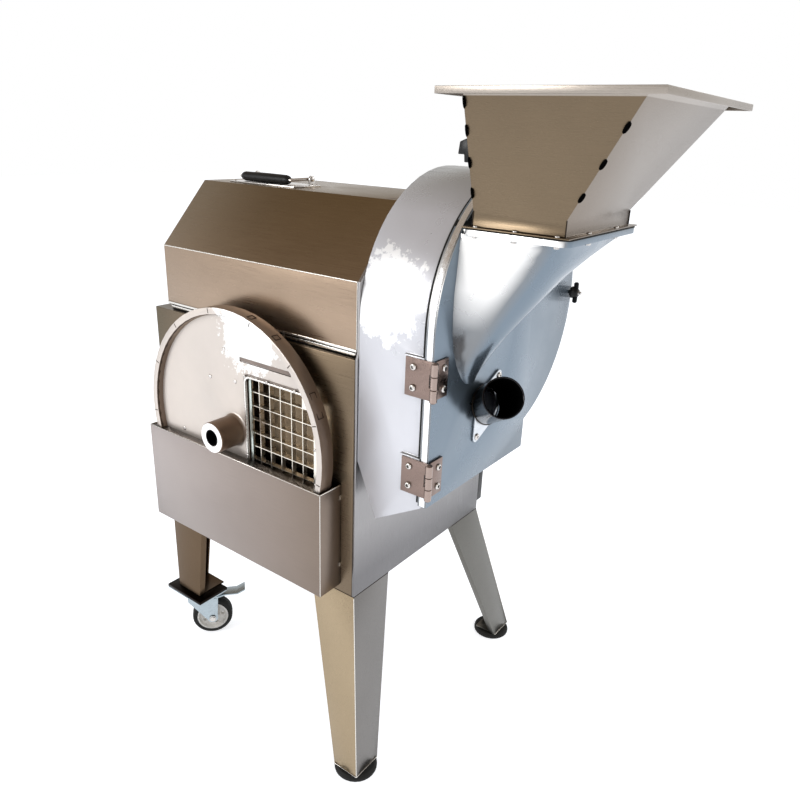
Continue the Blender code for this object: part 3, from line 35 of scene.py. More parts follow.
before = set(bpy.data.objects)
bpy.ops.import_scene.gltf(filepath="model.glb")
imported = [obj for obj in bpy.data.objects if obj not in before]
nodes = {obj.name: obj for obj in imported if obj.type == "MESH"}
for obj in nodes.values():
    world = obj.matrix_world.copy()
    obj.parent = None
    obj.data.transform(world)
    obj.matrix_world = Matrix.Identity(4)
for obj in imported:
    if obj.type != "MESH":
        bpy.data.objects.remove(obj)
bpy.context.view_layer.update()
cabinetWidth = 0.520
shellLow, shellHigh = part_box("cabinet_shell")
home = Vector((shellLow.x + cabinetWidth, shellLow.y, 0))


def at(x, y, z):
    return home + Vector((x, y, z))


print("frame loaded:", len(nodes), "solids")


# Node trees, each colour and number written where the finish is made

def newTree(name):
    material = bpy.data.materials.new(name)
    material.use_nodes = True
    tree = material.node_tree
    return material, tree, tree.nodes["Principled BSDF"]


def addNode(tree, kind, inputs=None, **settings):
    node = tree.nodes.new(kind)
    for key, value in settings.items():
        setattr(node, key, value)
    for key, value in (inputs or {}).items():
        if isinstance(value, bpy.types.NodeSocket):
            tree.links.new(value, node.inputs[key])
        else:
            node.inputs[key].default_value = value
    return node


def grain(tree, scale, detail=3.0, roughness=0.6, stretch=(1, 1, 1)):
    place = addNode(tree, "ShaderNodeTexCoord").outputs["Object"]
    mapping = addNode(tree, "ShaderNodeMapping", {"Vector": place, "Scale": stretch})
    return addNode(tree, "ShaderNodeTexNoise", {"Vector": mapping.outputs[0], "Scale": scale,
                                                "Detail": detail, "Roughness": roughness}).outputs["Fac"]


def toneRamp(tree, factor, stops):
    ramp = addNode(tree, "ShaderNodeValToRGB", {"Fac": factor})
    while len(ramp.color_ramp.elements) < len(stops):
        ramp.color_ramp.elements.new(0.5)
    for element, (position, colour) in zip(ramp.color_ramp.elements, stops):
        element.position = position
        element.color = (*colour, 1)
    return ramp.outputs["Color"]


def span(tree, factor, low, high, fromLow=0.3, fromHigh=0.7):
    return addNode(tree, "ShaderNodeMapRange", {"Value": factor, "From Min": fromLow, "From Max": fromHigh,
                                                "To Min": low, "To Max": high}).outputs["Result"]


def blendTone(tree, factor, first, second, mode="MIX"):
    mix = addNode(tree, "ShaderNodeMix", data_type="RGBA", blend_type=mode)
    for socket, value in ((mix.inputs[0], factor), (mix.inputs[6], first), (mix.inputs[7], second)):
        if isinstance(value, bpy.types.NodeSocket):
            tree.links.new(value, socket)
        else:
            socket.default_value = (*value, 1) if isinstance(value, tuple) and len(value) == 3 else value
    return mix.outputs[2]


def bumpFrom(tree, shader, height, strength, distance):
    bump = addNode(tree, "ShaderNodeBump", {"Height": height, "Strength": strength, "Distance": distance})
    tree.links.new(bump.outputs["Normal"], shader.inputs["Normal"])


def paintCreviceShade(tree, shader, tone, reach, darkest):
    # painted shade: darker where two surfaces meet, from an occlusion mask
    near = addNode(tree, "ShaderNodeAmbientOcclusion", {"Distance": reach}, samples=6)
    shade = span(tree, near.outputs["AO"], darkest, 1.0, 0.25, 0.85)
    tree.links.new(blendTone(tree, 1.0, tone, shade, "MULTIPLY"), shader.inputs["Base Color"])


def darker(colour, share):
    return tuple(value * share for value in colour)


def facing(tree, axis, low=0.45, high=0.75):
    # how squarely a face looks along one axis of its own piece, either way; the mask for tones painted as light
    # and shade by side
    normal = addNode(tree, "ShaderNodeTexCoord").outputs["Normal"]
    part = addNode(tree, "ShaderNodeSeparateXYZ", {"Vector": normal}).outputs[axis]
    size = addNode(tree, "ShaderNodeMath", {0: part}, operation="ABSOLUTE").outputs[0]
    return span(tree, size, 0.0, 1.0, low, high)


def fade(tree, axis, start, end):
    # 0 to 1 along one axis of the piece's own coordinates
    place = addNode(tree, "ShaderNodeTexCoord").outputs["Object"]
    part = addNode(tree, "ShaderNodeSeparateXYZ", {"Vector": place}).outputs[axis]
    return span(tree, part, 0.0, 1.0, start, end)


def brushedSteel(name, colour, along="X", roughness=0.30, smudge=0.10, paintedSides=(), paintedBand=None, lipHighlight=None):
    # ground sheet: fine lines along one axis, with faint cloudy handling marks. The side tones are
    # painted light and shade on the faces that look along another axis, the band is a painted gradient of
    # light and shade to a second tone, and above the lip height the top edge is a painted paler highlight
    material, tree, shader = newTree(name)
    stretch = {"X": (0.02, 1, 1), "Y": (1, 0.02, 1), "Z": (1, 1, 0.02)}[along]
    lines = grain(tree, 900, 4.0, 0.7, stretch)
    clouds = grain(tree, 5, 3.0, 0.6)
    tone = colour
    # painted light and shade: a gradient to a second tone along one axis
    if paintedBand:
        axis, start, end, second = paintedBand
        tone = blendTone(tree, fade(tree, axis, start, end), tone, second)
    # painted light and shade: faces that look along an axis take their own tone
    for axis, side, *limits in paintedSides:
        tone = blendTone(tree, facing(tree, axis, *limits), tone, side)
    # painted highlight: a paler tone along the top edge
    if lipHighlight:
        tone = blendTone(tree, fade(tree, "Z", lipHighlight, lipHighlight + 0.001), tone, (0.40, 0.355, 0.31))
    cloudy = toneRamp(tree, clouds, [(0.3, (1 - smudge,) * 3), (0.7, (1, 1, 1))])
    tone = blendTone(tree, 1.0, tone, cloudy, "MULTIPLY")
    streaks = toneRamp(tree, lines, [(0.25, (0.86, 0.86, 0.86)), (0.75, (1.0, 1.0, 1.0))])
    paintCreviceShade(tree, shader, blendTone(tree, 1.0, tone, streaks, "MULTIPLY"), 0.012, 0.45)
    tree.links.new(span(tree, lines, roughness - 0.06, roughness + 0.10), shader.inputs["Roughness"])
    shader.inputs["Metallic"].default_value = 1.0
    shader.inputs["Anisotropic"].default_value = 0.35
    bumpFrom(tree, shader, lines, 0.06, 0.0002)
    return material


def castMetal(name, colour, metallic, roughness, wear=0.12, pits=0.25, paintedSides=(), patch=None):
    # smoothed sand casting: soft mottling and fine pits; patch is a ragged pale place with its centre
    # in the piece's own coordinates, its reach and its tone, on the casing a painted highlight; the side tones
    # are painted light and shade
    material, tree, shader = newTree(name)
    clouds = grain(tree, 9, 4.0, 0.6)
    fine = grain(tree, 420, 3.0, 0.6)
    tone = colour
    if patch:
        # a ragged pale place; on the casing it is a painted highlight
        centre, reach, patchTone = patch
        place = addNode(tree, "ShaderNodeTexCoord").outputs["Object"]
        away = addNode(tree, "ShaderNodeVectorMath", {0: place, 1: centre}, operation="DISTANCE")
        ragged = span(tree, grain(tree, 55, 6.0, 0.7), -0.030, 0.030)
        away = addNode(tree, "ShaderNodeMath", {0: away.outputs["Value"], 1: ragged},
                       operation="ADD").outputs[0]
        tone = blendTone(tree, span(tree, away, 1.0, 0.0, reach * 0.88, reach), tone, patchTone)
    # painted light and shade: faces that look along an axis take their own tone, some only above a height
    for axis, side, *limits in paintedSides:
        share = facing(tree, axis, *limits[:2])
        if len(limits) > 2:  # only above a height
            share = addNode(tree, "ShaderNodeMath", {0: share, 1: fade(tree, "Z", *limits[2:])},
                            operation="MULTIPLY").outputs[0]
        tone = blendTone(tree, share, tone, side)
    mottle = toneRamp(tree, clouds, [(0.28, (1 - wear,) * 3), (0.72, (1, 1, 1))])
    tone = blendTone(tree, 1.0, tone, mottle, "MULTIPLY")
    paintCreviceShade(tree, shader, tone, 0.018, 0.40)
    tree.links.new(span(tree, clouds, roughness - 0.05, roughness + 0.09), shader.inputs["Roughness"])
    shader.inputs["Metallic"].default_value = metallic
    bumpFrom(tree, shader, fine, pits, 0.00025)
    return material


def brightMetal(name, colour, roughness, scratch=0.10):
    material, tree, shader = newTree(name)
    scuffs = grain(tree, 160, 5.0, 0.7, (1, 0.25, 1))
    tone = toneRamp(tree, scuffs, [(0.3, darker(colour, 1 - scratch)), (0.7, colour)])
    paintCreviceShade(tree, shader, tone, 0.006, 0.35)
    tree.links.new(span(tree, scuffs, roughness * 0.7, roughness * 1.5), shader.inputs["Roughness"])
    shader.inputs["Metallic"].default_value = 1.0
    bumpFrom(tree, shader, scuffs, 0.04, 0.0002)
    return material


def moulded(name, colour, roughness, grainSize=700, dust=0.0, coat=0.0, gloss=0.5):
    # plastic or rubber: fine mould texture, lighter worn places and a little dust
    material, tree, shader = newTree(name)
    clouds = grain(tree, 25, 4.0, 0.6)
    light = tuple(min(1, value * 1.5 + 0.01 * gloss + dust) for value in colour)
    tone = toneRamp(tree, clouds, [(0.35, colour), (0.8, light)])
    tree.links.new(tone, shader.inputs["Base Color"])
    tree.links.new(span(tree, clouds, roughness - 0.07, roughness + 0.10), shader.inputs["Roughness"])
    shader.inputs["Coat Weight"].default_value = coat
    shader.inputs["Specular IOR Level"].default_value = gloss
    bumpFrom(tree, shader, grain(tree, grainSize, 2.0, 0.5), 0.15, 0.0002)
    return material


# one stainless steel throughout: the tones that differ between panels, their side tones and bands are painted
# light, shade and reflection (hood tops darker, cabinet darker at its left end, pocket darker to the right, end
# plate darker below)
hoodSteel = brushedSteel("hoodSteel", (0.39, 0.29, 0.21), "X", 0.30, paintedSides=[("Z", (0.25, 0.18, 0.095))])
cabinetSteel = brushedSteel("cabinetSteel", (0.20, 0.15, 0.10), "X", 0.30,
                            paintedBand=("X", home.x - 0.44, home.x - 0.52, (0.135, 0.105, 0.062)))
pocketSteel = brushedSteel("pocketSteel", (0.42, 0.37, 0.35), "X", 0.34,
                           paintedBand=("X", home.x - 0.48, home.x - 0.04, (0.24, 0.19, 0.155)))
endSteel = brushedSteel("endSteel", (0.21, 0.205, 0.21), "Z", 0.30,
                        paintedBand=("Z", home.z + 0.37, home.z + 0.47, (0.36, 0.35, 0.35)))
# the legs are one steel in lit and shaded copies: the front right lit with warmer front faces, the rear right
# and left legs shaded, and the left legs' feet painted near black as shade below the band
legSteel = brushedSteel("legSteel", (0.225, 0.215, 0.205), "Z", 0.30, paintedSides=[("Y", (0.39, 0.305, 0.20))])
rearLegShadedSteel = brushedSteel("rearLegShadedSteel", (0.18, 0.175, 0.16), "Z", 0.30)
leftLegShadedSteel = brushedSteel("leftLegShadedSteel", (0.135, 0.092, 0.057), "Z", 0.32,
                            paintedBand=("Z", home.z + 0.1262, home.z + 0.1246, (0.012, 0.008, 0.006)))
# the hopper's sides that look along x are painted lighter, and its top edge carries a painted highlight
hopperSteel = brushedSteel("hopperSteel", (0.185, 0.138, 0.090), "X", 0.28,
                           paintedSides=[("X", (0.262, 0.222, 0.186))], lipHighlight=home.z + 1.163)
tubeSteel = brushedSteel("tubeSteel", (0.030, 0.029, 0.030), "Z", 0.16)
hingeSteel = brightMetal("hingeSteel", (0.235, 0.172, 0.148), 0.28, 0.05)
screwSteel = brightMetal("screwSteel", (0.66, 0.63, 0.60), 0.20, 0.05)
bladeSteel = brightMetal("bladeSteel", (0.86, 0.80, 0.70), 0.30, 0.05)
shaftSteel = brightMetal("shaftSteel", (0.70, 0.68, 0.66), 0.24)
zincPlate = brightMetal("zincPlate", (0.46, 0.53, 0.57), 0.28, 0.2)
# casing: faces that look up are painted darker, and a ragged near-white place on its near side is a painted
# highlight
casingCast = castMetal("casingCast", (0.63, 0.63, 0.66), 0.55, 0.28, 0.03, 0.04,
                       [("Z", (0.38, 0.385, 0.37), 0.72, 1.0)],
                       (tuple(at(0.045, 0.012, 0.888)), 0.072, (0.98, 0.98, 0.98)))
# door: the casing's paint as a shaded copy; faces that look along y are painted grey, and above a height painted
# pale as the chute's highlight
doorCast = castMetal("doorCast", (0.205, 0.255, 0.305), 0.70, 0.26, 0.03, 0.03,
                     [("Y", (0.24, 0.25, 0.26), 0.60, 0.85),
                      ("Y", (0.90, 0.89, 0.87), 0.80, 0.96, home.z + 0.850, home.z + 0.910)])
# spare disc: faces that look along x and z take painted shade, and a ragged near-white place lies near the top
# of its face
discCast = castMetal("discCast", (0.65, 0.585, 0.53), 0.60, 0.36, 0.12, 0.15,
                     [("X", (0.20, 0.14, 0.10)), ("Z", (0.30, 0.22, 0.16))],
                     (tuple(at(-0.213, -0.035, 0.790)), 0.076, (0.97, 0.96, 0.94)))
slicerCast = castMetal("slicerCast", (0.30, 0.30, 0.31), 0.70, 0.36, 0.07, 0.15)
# dark cast tone for the rim's slots, and as painted shade lining the disc's recess wall
slotAndShadeCast = castMetal("slotAndShadeCast", (0.060, 0.038, 0.024), 0.60, 0.45, 0.2, 0.2)
hubCast = castMetal("hubCast", (0.20, 0.13, 0.085), 0.70, 0.34, 0.1, 0.15)
pulleyCast = castMetal("pulleyCast", (0.30, 0.32, 0.34), 0.9, 0.45, 0.15, 0.4)
bearingCast = castMetal("bearingCast", (0.52, 0.53, 0.55), 0.9, 0.42, 0.12, 0.4)
greyEnamel = moulded("greyEnamel", (0.19, 0.24, 0.29), 0.42, 300)
blackRubber = moulded("blackRubber", (0.005, 0.005, 0.004), 0.62, 500, gloss=0.2)
dustyRubber = moulded("dustyRubber", (0.008, 0.008, 0.007), 0.66, 420, 0.004, gloss=0.25)
blackPlastic = moulded("blackPlastic", (0.004, 0.004, 0.004), 0.36, 900, gloss=0.25)
wheelNylon = moulded("wheelNylon", (0.62, 0.60, 0.56), 0.48, 600)
greenPlastic = moulded("greenPlastic", (0.02, 0.30, 0.07), 0.30, 1200, 0.0, 0.4)
redPlastic = moulded("redPlastic", (0.50, 0.02, 0.015), 0.30, 1200, 0.0, 0.4)
weldTint = brightMetal("weldTint", (0.045, 0.034, 0.026), 0.45, 0.4)
knuckleSteel = brightMetal("knuckleSteel", (0.36, 0.28, 0.245), 0.22, 0.05)
paleBar = brightMetal("paleBar", (0.56, 0.62, 0.58), 0.30, 0.05)
# bright steel for the hem, seal bar, rolled edge and tacks, and for painted highlight lines along bends
edgeAndHighlightSteel = brightMetal("edgeAndHighlightSteel", (0.80, 0.77, 0.72), 0.24, 0.06)
windowSteel = brightMetal("windowSteel", (0.84, 0.80, 0.76), 0.26, 0.08)
polished = brightMetal("polished", (0.88, 0.86, 0.84), 0.16, 0.05)
plateSteel = brightMetal("plateSteel", (0.66, 0.69, 0.72), 0.30, 0.06)
rimHighlight = brightMetal("rimHighlight", (0.86, 0.87, 0.88), 0.24, 0.05)
# near black: the hopper's corner slots, and painted shade inside bores, folds, tube and window walls
slotAndShadeBlack = moulded("slotAndShadeBlack", (0.002, 0.002, 0.002), 0.9, 500, gloss=0.0)
slotTone = moulded("slotTone", (0.20, 0.155, 0.13), 0.55, 500)
print("finishes made")


# Making meshes. A piece's slot follows from its finish, when one is given


def newPiece(name, mesh, material=None, body=None):
    piece = bpy.data.objects.new(name, mesh)
    bpy.context.scene.collection.objects.link(piece)
    if material and not mesh.materials:
        mesh.materials.append(material)
    if body:
        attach(piece, body)
    return piece


def shadeByAngle(mesh, degrees=38):
    mesh.shade_smooth()
    mesh.set_sharp_from_angle(angle=math.radians(degrees))


def meshOf(name, bm, smoothAngle=38):
    bmesh.ops.recalc_face_normals(bm, faces=bm.faces)
    mesh = bpy.data.meshes.new(name)
    bm.to_mesh(mesh)
    bm.free()
    shadeByAngle(mesh, smoothAngle)
    return mesh


def evaluatedMesh(piece):
    bpy.context.view_layer.update()
    return bpy.data.meshes.new_from_object(piece.evaluated_get(bpy.context.evaluated_depsgraph_get()))


def rectangle(x0, x1, y0, y1):
    return [(x0, y0), (x1, y0), (x1, y1), (x0, y1)]


def circle(radius, count):
    turns = [math.tau * i / count for i in range(count)]
    return [(radius * math.cos(a), radius * math.sin(a)) for a in turns]


def arcPoints(centre, radius, start, end, count):
    angles = [math.radians(start + (end - start) * i / count) for i in range(count + 1)]
    return [(centre[0] + radius * math.cos(a), centre[1] + radius * math.sin(a)) for a in angles]


def roundedOutline(corners, radii, count=4):
    # a closed outline with each corner rounded to its own radius; 0 keeps it sharp
    points = []
    total = len(corners)
    for i, corner in enumerate(corners):
        radius = radii[i] if isinstance(radii, (list, tuple)) else radii
        here = Vector(corner)
        back = (Vector(corners[i - 1]) - here).normalized()
        onward = (Vector(corners[(i + 1) % total]) - here).normalized()
        half = back.angle(onward) / 2
        if radius <= 0 or half > math.radians(88):
            points.append(tuple(here))
            continue
        reach = radius / math.tan(half)
        middle = here + (back + onward).normalized() * (radius / math.sin(half))
        first = here + back * reach - middle
        swing = first.angle_signed(here + onward * reach - middle)
        points += [tuple(middle + Matrix.Rotation(-swing * k / count, 2) @ first) for k in range(count + 1)]
    return points


def ringsToMesh(bm, rings, closed=False):
    rows = [[bm.verts.new(point) for point in ring] for ring in rings]
    pairs = list(zip(rows, rows[1:]))
    if closed:
        pairs.append((rows[-1], rows[0]))
    for lower, upper in pairs:
        count = max(len(lower), len(upper))
        for i in range(count):
            k = (i + 1) % count
            if len(lower) == 1:
                bm.faces.new((lower[0], upper[k], upper[i]))
            elif len(upper) == 1:
                bm.faces.new((lower[i], lower[k], upper[0]))
            else:
                bm.faces.new((lower[i], lower[k], upper[k], upper[i]))
    return rows


def latheMesh(name, profile, steps=96, closed=True):
    # the profile is (radius, distance along the axis); a closed one is a ring's section
    bm = bmesh.new()
    rings = [[(0, 0, along)] if radius < 1e-6 else [(u, v, along) for u, v in circle(radius, steps)]
             for radius, along in profile]
    ringsToMesh(bm, rings, closed)
    return meshOf(name, bm)


def aim(direction, spin=0.0):
    turn = Vector((0, 0, 1)).rotation_difference(Vector(direction)).to_matrix()
    return (turn @ Matrix.Rotation(math.radians(spin), 3, "Z")).to_4x4()


def lathe(name, profile, place, axis, material=None, body="machine", steps=96, closed=True):
    mesh = latheMesh(name, profile, steps, closed)
    mesh.transform(Matrix.Translation(at(*place)) @ aim(axis))
    return newPiece(name, mesh, material, body)


def curveMesh(name, dimensions, lines, closed, **settings):
    curve = bpy.data.curves.new(name, "CURVE")
    curve.dimensions = dimensions
    for key, value in settings.items():
        setattr(curve, key, value)
    for line in lines:
        spline = curve.splines.new("POLY")
        spline.points.add(len(line) - 1)
        for point, place in zip(spline.points, line):
            point.co = (*place, 1)
        spline.use_cyclic_u = closed
    guide = bpy.data.objects.new(name, curve)
    bpy.context.scene.collection.objects.link(guide)
    mesh = evaluatedMesh(guide)
    bpy.data.objects.remove(guide, do_unlink=True)
    bpy.data.curves.remove(curve)
    return mesh


# each plane's number along its normal, and the turn that lays a flat outline in it
planes = {
    "xy": (2, Matrix.Identity(3)),
    "yz": (0, Matrix(((0, 0, 1), (1, 0, 0), (0, 1, 0)))),
    "xz": (1, Matrix(((1, 0, 0), (0, 0, -1), (0, 1, 0)))),
}


def plate(name, loops, plane, low, high, material, body="machine", edge=0.0003):
    # a flat plate with any holes, its edges eased; low and high are along the plane's normal
    mesh = curveMesh(name, "2D", [[(u, v, 0) for u, v in loop] for loop in loops], True, fill_mode="BOTH",
                     extrude=(high - low) / 2 - edge, bevel_depth=edge, bevel_resolution=1, offset=-edge)
    bm = bmesh.new()
    bm.from_mesh(mesh)
    bpy.data.meshes.remove(mesh)
    bmesh.ops.remove_doubles(bm, verts=bm.verts, dist=0.00001)
    normal, turn = planes[plane]
    shift = [0, 0, 0]
    shift[normal] = (low + high) / 2
    bmesh.ops.transform(bm, matrix=Matrix.Translation(at(*shift)) @ turn.to_4x4(), verts=bm.verts)
    return newPiece(name, meshOf(name, bm, 30), material, body)


def tube(name, points, radius, material, body="machine", closed=False):
    mesh = curveMesh(name, "3D", [[at(*point) for point in points]], closed, bevel_depth=radius,
                     bevel_resolution=3, use_fill_caps=True)
    mesh.shade_smooth()
    return newPiece(name, mesh, material, body)


def strip(name, low, high, material=None, body="machine", edge=0.0003, segments=2):
    bm = bmesh.new()
    size = [b - a for a, b in zip(low, high)]
    middle = at(*[(a + b) / 2 for a, b in zip(low, high)])
    bmesh.ops.create_cube(bm, size=1, matrix=Matrix.Translation(middle) @ Matrix.Diagonal((*size, 1)))
    bmesh.ops.bevel(bm, geom=bm.edges[:], offset=edge, segments=segments, profile=0.7, affect="EDGES")
    return newPiece(name, meshOf(name, bm), material, body)


def carve(piece, cutters):
    # take the cutters out of the piece's mesh for good, then drop them
    for cutter in cutters:
        step = piece.modifiers.new("cut", "BOOLEAN")
        step.operation = "DIFFERENCE"
        step.solver = "EXACT"
        step.object = cutter
    mesh = evaluatedMesh(piece)
    piece.modifiers.clear()
    piece.data = mesh
    for cutter in cutters:
        bpy.data.objects.remove(cutter, do_unlink=True)
    shadeByAngle(mesh)


# Fasteners: one mesh for each kind and size, shared by all of it

def crossReach(angle):
    c, s = abs(math.cos(angle)), abs(math.sin(angle))
    return min(0.50 / max(c, s), 0.11 / max(min(c, s), 1e-6))


def hexReach(angle, size=0.46):
    return size / math.cos((angle + math.pi / 6) % (math.pi / 3) - math.pi / 6)


def nutReach(angle):
    return hexReach(angle, 0.88)


def screwHead(socket):
    return [(1, -0.1), (1, 0.3), (0.95, 0.58), (0.84, 0.8), (0.70, 0.93), (0.58, 1.0), (socket, 1.0),
            (lambda a: socket(a) * 0.9, 0.35), (0, 0.3)]


# rings from the foot up: reach as a share of the radius, and lift as a share of the height
fastenerRings = {
    "hexBolt": [(1.22, -0.1), (1.22, 0.15), (1.14, 0.22), (nutReach, 0.22), (nutReach, 0.86),
                (lambda a: min(0.93, nutReach(a)), 1.0), (0.55, 1.0), (0, 0.96)],
    "rivet": [(1, -0.1), (1, 0.15), (0.93, 0.5), (0.74, 0.8), (0.4, 0.97), (0, 1)],
    "cross": screwHead(crossReach),
    "hex": screwHead(hexReach),
}
fastenerMeshes = {}


def fastenerMesh(kind, radius, height, steps=48):
    key = (kind, radius, height)
    if key not in fastenerMeshes:
        rings = [[(0, 0, -0.1 * height)]]
        for reach, lift in fastenerRings[kind]:
            if reach == 0:
                rings.append([(0, 0, height * lift)])
                continue
            ring = []
            for a in (math.tau * i / steps for i in range(steps)):
                out = radius * (reach(a) if callable(reach) else reach)
                ring.append((out * math.cos(a), out * math.sin(a), height * lift))
            rings.append(ring)
        bm = bmesh.new()
        ringsToMesh(bm, rings)
        fastenerMeshes[key] = meshOf(f"{kind}Shape", bm, 34)
    return fastenerMeshes[key]


def fasten(name, kind, place, normal, radius, height, body="machine", spin=0.0):
    piece = newPiece(name, fastenerMesh(kind, radius, height), screwSteel)
    piece.matrix_world = Matrix.Translation(at(*place)) @ aim(normal, spin)
    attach(piece, body)


def fastenRow(name, kind, places, normal, radius, height, body="machine", turn=0, first=0):
    for i, place in enumerate(places):
        fasten(f"{name}{i}", kind, place, normal, radius, height, body, first + turn * i)


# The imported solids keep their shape; they get welded shading, eased edges and a finish

def smoothGroup(degrees):
    # a small geometry group that shades smooth across edges below the angle
    group = bpy.data.node_groups.new(f"smoothBelow{degrees}", "GeometryNodeTree")
    for way in ("INPUT", "OUTPUT"):
        group.interface.new_socket("Geometry", in_out=way, socket_type="NodeSocketGeometry")
    start, end, angle, compare, faces, edges = (group.nodes.new(kind) for kind in (
        "NodeGroupInput", "NodeGroupOutput", "GeometryNodeInputMeshEdgeAngle", "FunctionNodeCompare",
        "GeometryNodeSetShadeSmooth", "GeometryNodeSetShadeSmooth"))
    compare.data_type = "FLOAT"
    compare.operation = "LESS_EQUAL"
    compare.inputs[1].default_value = math.radians(degrees)
    edges.domain = "EDGE"
    for output, entry in ((angle.outputs["Unsigned Angle"], compare.inputs[0]),
                          (start.outputs[0], faces.inputs["Geometry"]),
                          (faces.outputs[0], edges.inputs["Geometry"]),
                          (compare.outputs[0], edges.inputs["Shade Smooth"]),
                          (edges.outputs[0], end.inputs[0])):
        group.links.new(output, entry)
    return group


finishOf = {
    hoodSteel: ["hood"],
    cabinetSteel: ["cabinet_shell", "rear_panel"],
    pocketSteel: ["disc_pocket"],
    endSteel: ["end_plate", "motor_base"],
    legSteel: ["leg_front_right"],
    rearLegShadedSteel: ["leg_rear_right"],
    leftLegShadedSteel: ["leg_front_left", "leg_rear_left"],
    hopperSteel: ["hopper"],
    tubeSteel: ["feed_tube"],
    hingeSteel: ["hinge_casing_leaf_lower", "hinge_casing_leaf_upper", "hinge_door_leaf_lower",
                 "hinge_door_leaf_upper", "hood_hinge_fixed_1", "hood_hinge_fixed_2", "hood_hinge_moving_1",
                 "hood_hinge_moving_2"],
    screwSteel: ["handle_base", "handle_bail", "latch_bracket", "latch_bolt", "disc_nut"],
    shaftSteel: ["main_shaft", "bearing_front", "bearing_rear"],
    bladeSteel: ["dicing_grid", "slicing_knife_1", "slicing_knife_2"],
    zincPlate: ["caster_plate_front", "caster_plate_rear", "caster_fork_front", "caster_fork_rear",
                "caster_brake_front", "caster_brake_rear"],
    casingCast: ["casing"],
    doorCast: ["door"],
    discCast: ["dicing_disc"],
    slicerCast: ["slicing_disc"],
    pulleyCast: ["driven_pulley", "motor_pulley"],
    bearingCast: ["bearing_housing"],
    greyEnamel: ["motor"],
    blackRubber: ["hood_seal", "hopper_gasket", "drive_belt"],
    dustyRubber: ["foot_front_right", "foot_rear_right", "caster_tyre_front", "caster_tyre_rear"],
    blackPlastic: ["handle_grip", "hopper_sensor", "latch_knob", "switch_box"],
    wheelNylon: ["caster_wheel_front", "caster_wheel_rear"],
    greenPlastic: ["start_button"],
    redPlastic: ["stop_button"],
}
easedEdge = {
    "hood": 0.0016, "cabinet_shell": 0.0012, "disc_pocket": 0.0010, "hopper": 0.0008, "door": 0.0020,
    "casing": 0.0012, "end_plate": 0.0008, "dicing_grid": 0.0, "drive_belt": 0.0, "dicing_disc": 0.0008,
}
dressing = {"usualEdge": 0.0005, "weld": 0.00002, "flat": 0.6, "smooth": 36}
smoothBelow = smoothGroup(dressing["smooth"])


def dress(piece, material, edge):
    piece.data.materials.clear()
    piece.data.materials.append(material)
    if "custom_normal" in piece.data.attributes:
        piece.data.attributes.remove(piece.data.attributes["custom_normal"])
    piece.data.shade_smooth()
    piece.modifiers.new("weld", "WELD").merge_threshold = dressing["weld"]
    flat = piece.modifiers.new("flatten", "DECIMATE")
    flat.decimate_type = "DISSOLVE"
    flat.angle_limit = math.radians(dressing["flat"])
    if edge:
        bevel = piece.modifiers.new("ease", "BEVEL")
        bevel.width = edge
        bevel.segments = 2
        bevel.limit_method = "ANGLE"
        bevel.angle_limit = math.radians(dressing["smooth"])
        bevel.harden_normals = False
    piece.modifiers.new("smooth", "NODES").node_group = smoothBelow


for material, names in finishOf.items():
    for node in names:
        dress(nodes[node], material, easedEdge.get(node, dressing["usualEdge"]))
print("solids dressed")


# Hood: hem, painted highlight lines along its bends, top seam, and the flat bar round the seal

hoodSize = {
    "left": -0.486, "right": -0.0063, "front": 0.0056, "rear": 0.4204, "low": 0.789, "shoulder": 0.901,
    "top": 1.016, "flatFront": 0.110, "flatRear": 0.316, "seam": -0.037, "hemHigh": 0.0042,
    "hemProud": 0.0008, "sealLow": 0.7813, "sealHigh": 0.7858, "sealProud": 0.0012, "sealThick": 0.0010,
    "ledgeWide": 0.020, "ledgeFront": 0.0342, "ledgeRear": 0.3918, "ledgeLow": 0.7762, "ledgeHigh": 0.7781,
}


def makeHoodTrim():
    h = hoodSize
    left, right, front, rear, low = (h[key] for key in ("left", "right", "front", "rear", "low"))
    p = h["hemProud"]
    end = right - 0.0006
    outer = roundedOutline(rectangle(left - p, end, front - p, rear + p), 0.0008, 2)
    inner = roundedOutline(rectangle(left + 0.0003, end - 0.0010, front + 0.0003, rear - 0.0003), 0.0005, 2)
    plate("hoodHem", [outer, inner], "xy", low + 0.0002, low + h["hemHigh"], edgeAndHighlightSteel, "hood")
    seam = [(h["seam"], y, h["top"]) for y in (h["flatFront"] + 0.002, h["flatRear"] - 0.002)]
    tube("hoodTopSeam", seam, 0.0006, slotTone, "hood")
    # painted highlight lines along the hood's fold and end bends
    bend, z = right - 0.0009, h["shoulder"]
    for name, y in (("Front", front), ("Rear", rear)):
        tube(f"foldHighlight{name}", [(left + 0.002, y, z), (end, y, z)], 0.0012, edgeAndHighlightSteel, "hood")
        tube(f"endBendHighlight{name}", [(bend, y, low + 0.005), (bend, y, z)], 0.0009, edgeAndHighlightSteel, "hood")
    x0, x1 = left + 0.004 - h["sealProud"], right - 0.0057
    y0, y1 = front + 0.004 - h["sealProud"], rear - 0.004 + h["sealProud"]
    thick = h["sealThick"]
    outer = roundedOutline(rectangle(x0, x1 + 0.0003, y0, y1), 0.004)
    inner = roundedOutline(rectangle(x0 + thick, x1 - 0.0007, y0 + thick, y1 - thick), 0.003)
    plate("hoodSealBar", [outer, inner], "xy", h["sealLow"], h["sealHigh"], edgeAndHighlightSteel)
    # the flange that carries the seal's left run
    strip("sealLedge", (left - 0.0002, h["ledgeFront"], h["ledgeLow"]),
          (left + h["ledgeWide"], h["ledgeRear"], h["ledgeHigh"]), cabinetSteel, edge=0.0002)


handle = {"left": -0.425, "right": -0.265, "pivotY": 0.186, "reach": 0.046, "baseTop": 1.0188,
          "pivotZ": 1.0288, "gripDrop": 0.0007, "gripHalf": 0.061, "grip": 0.0084, "swell": 0.0006}


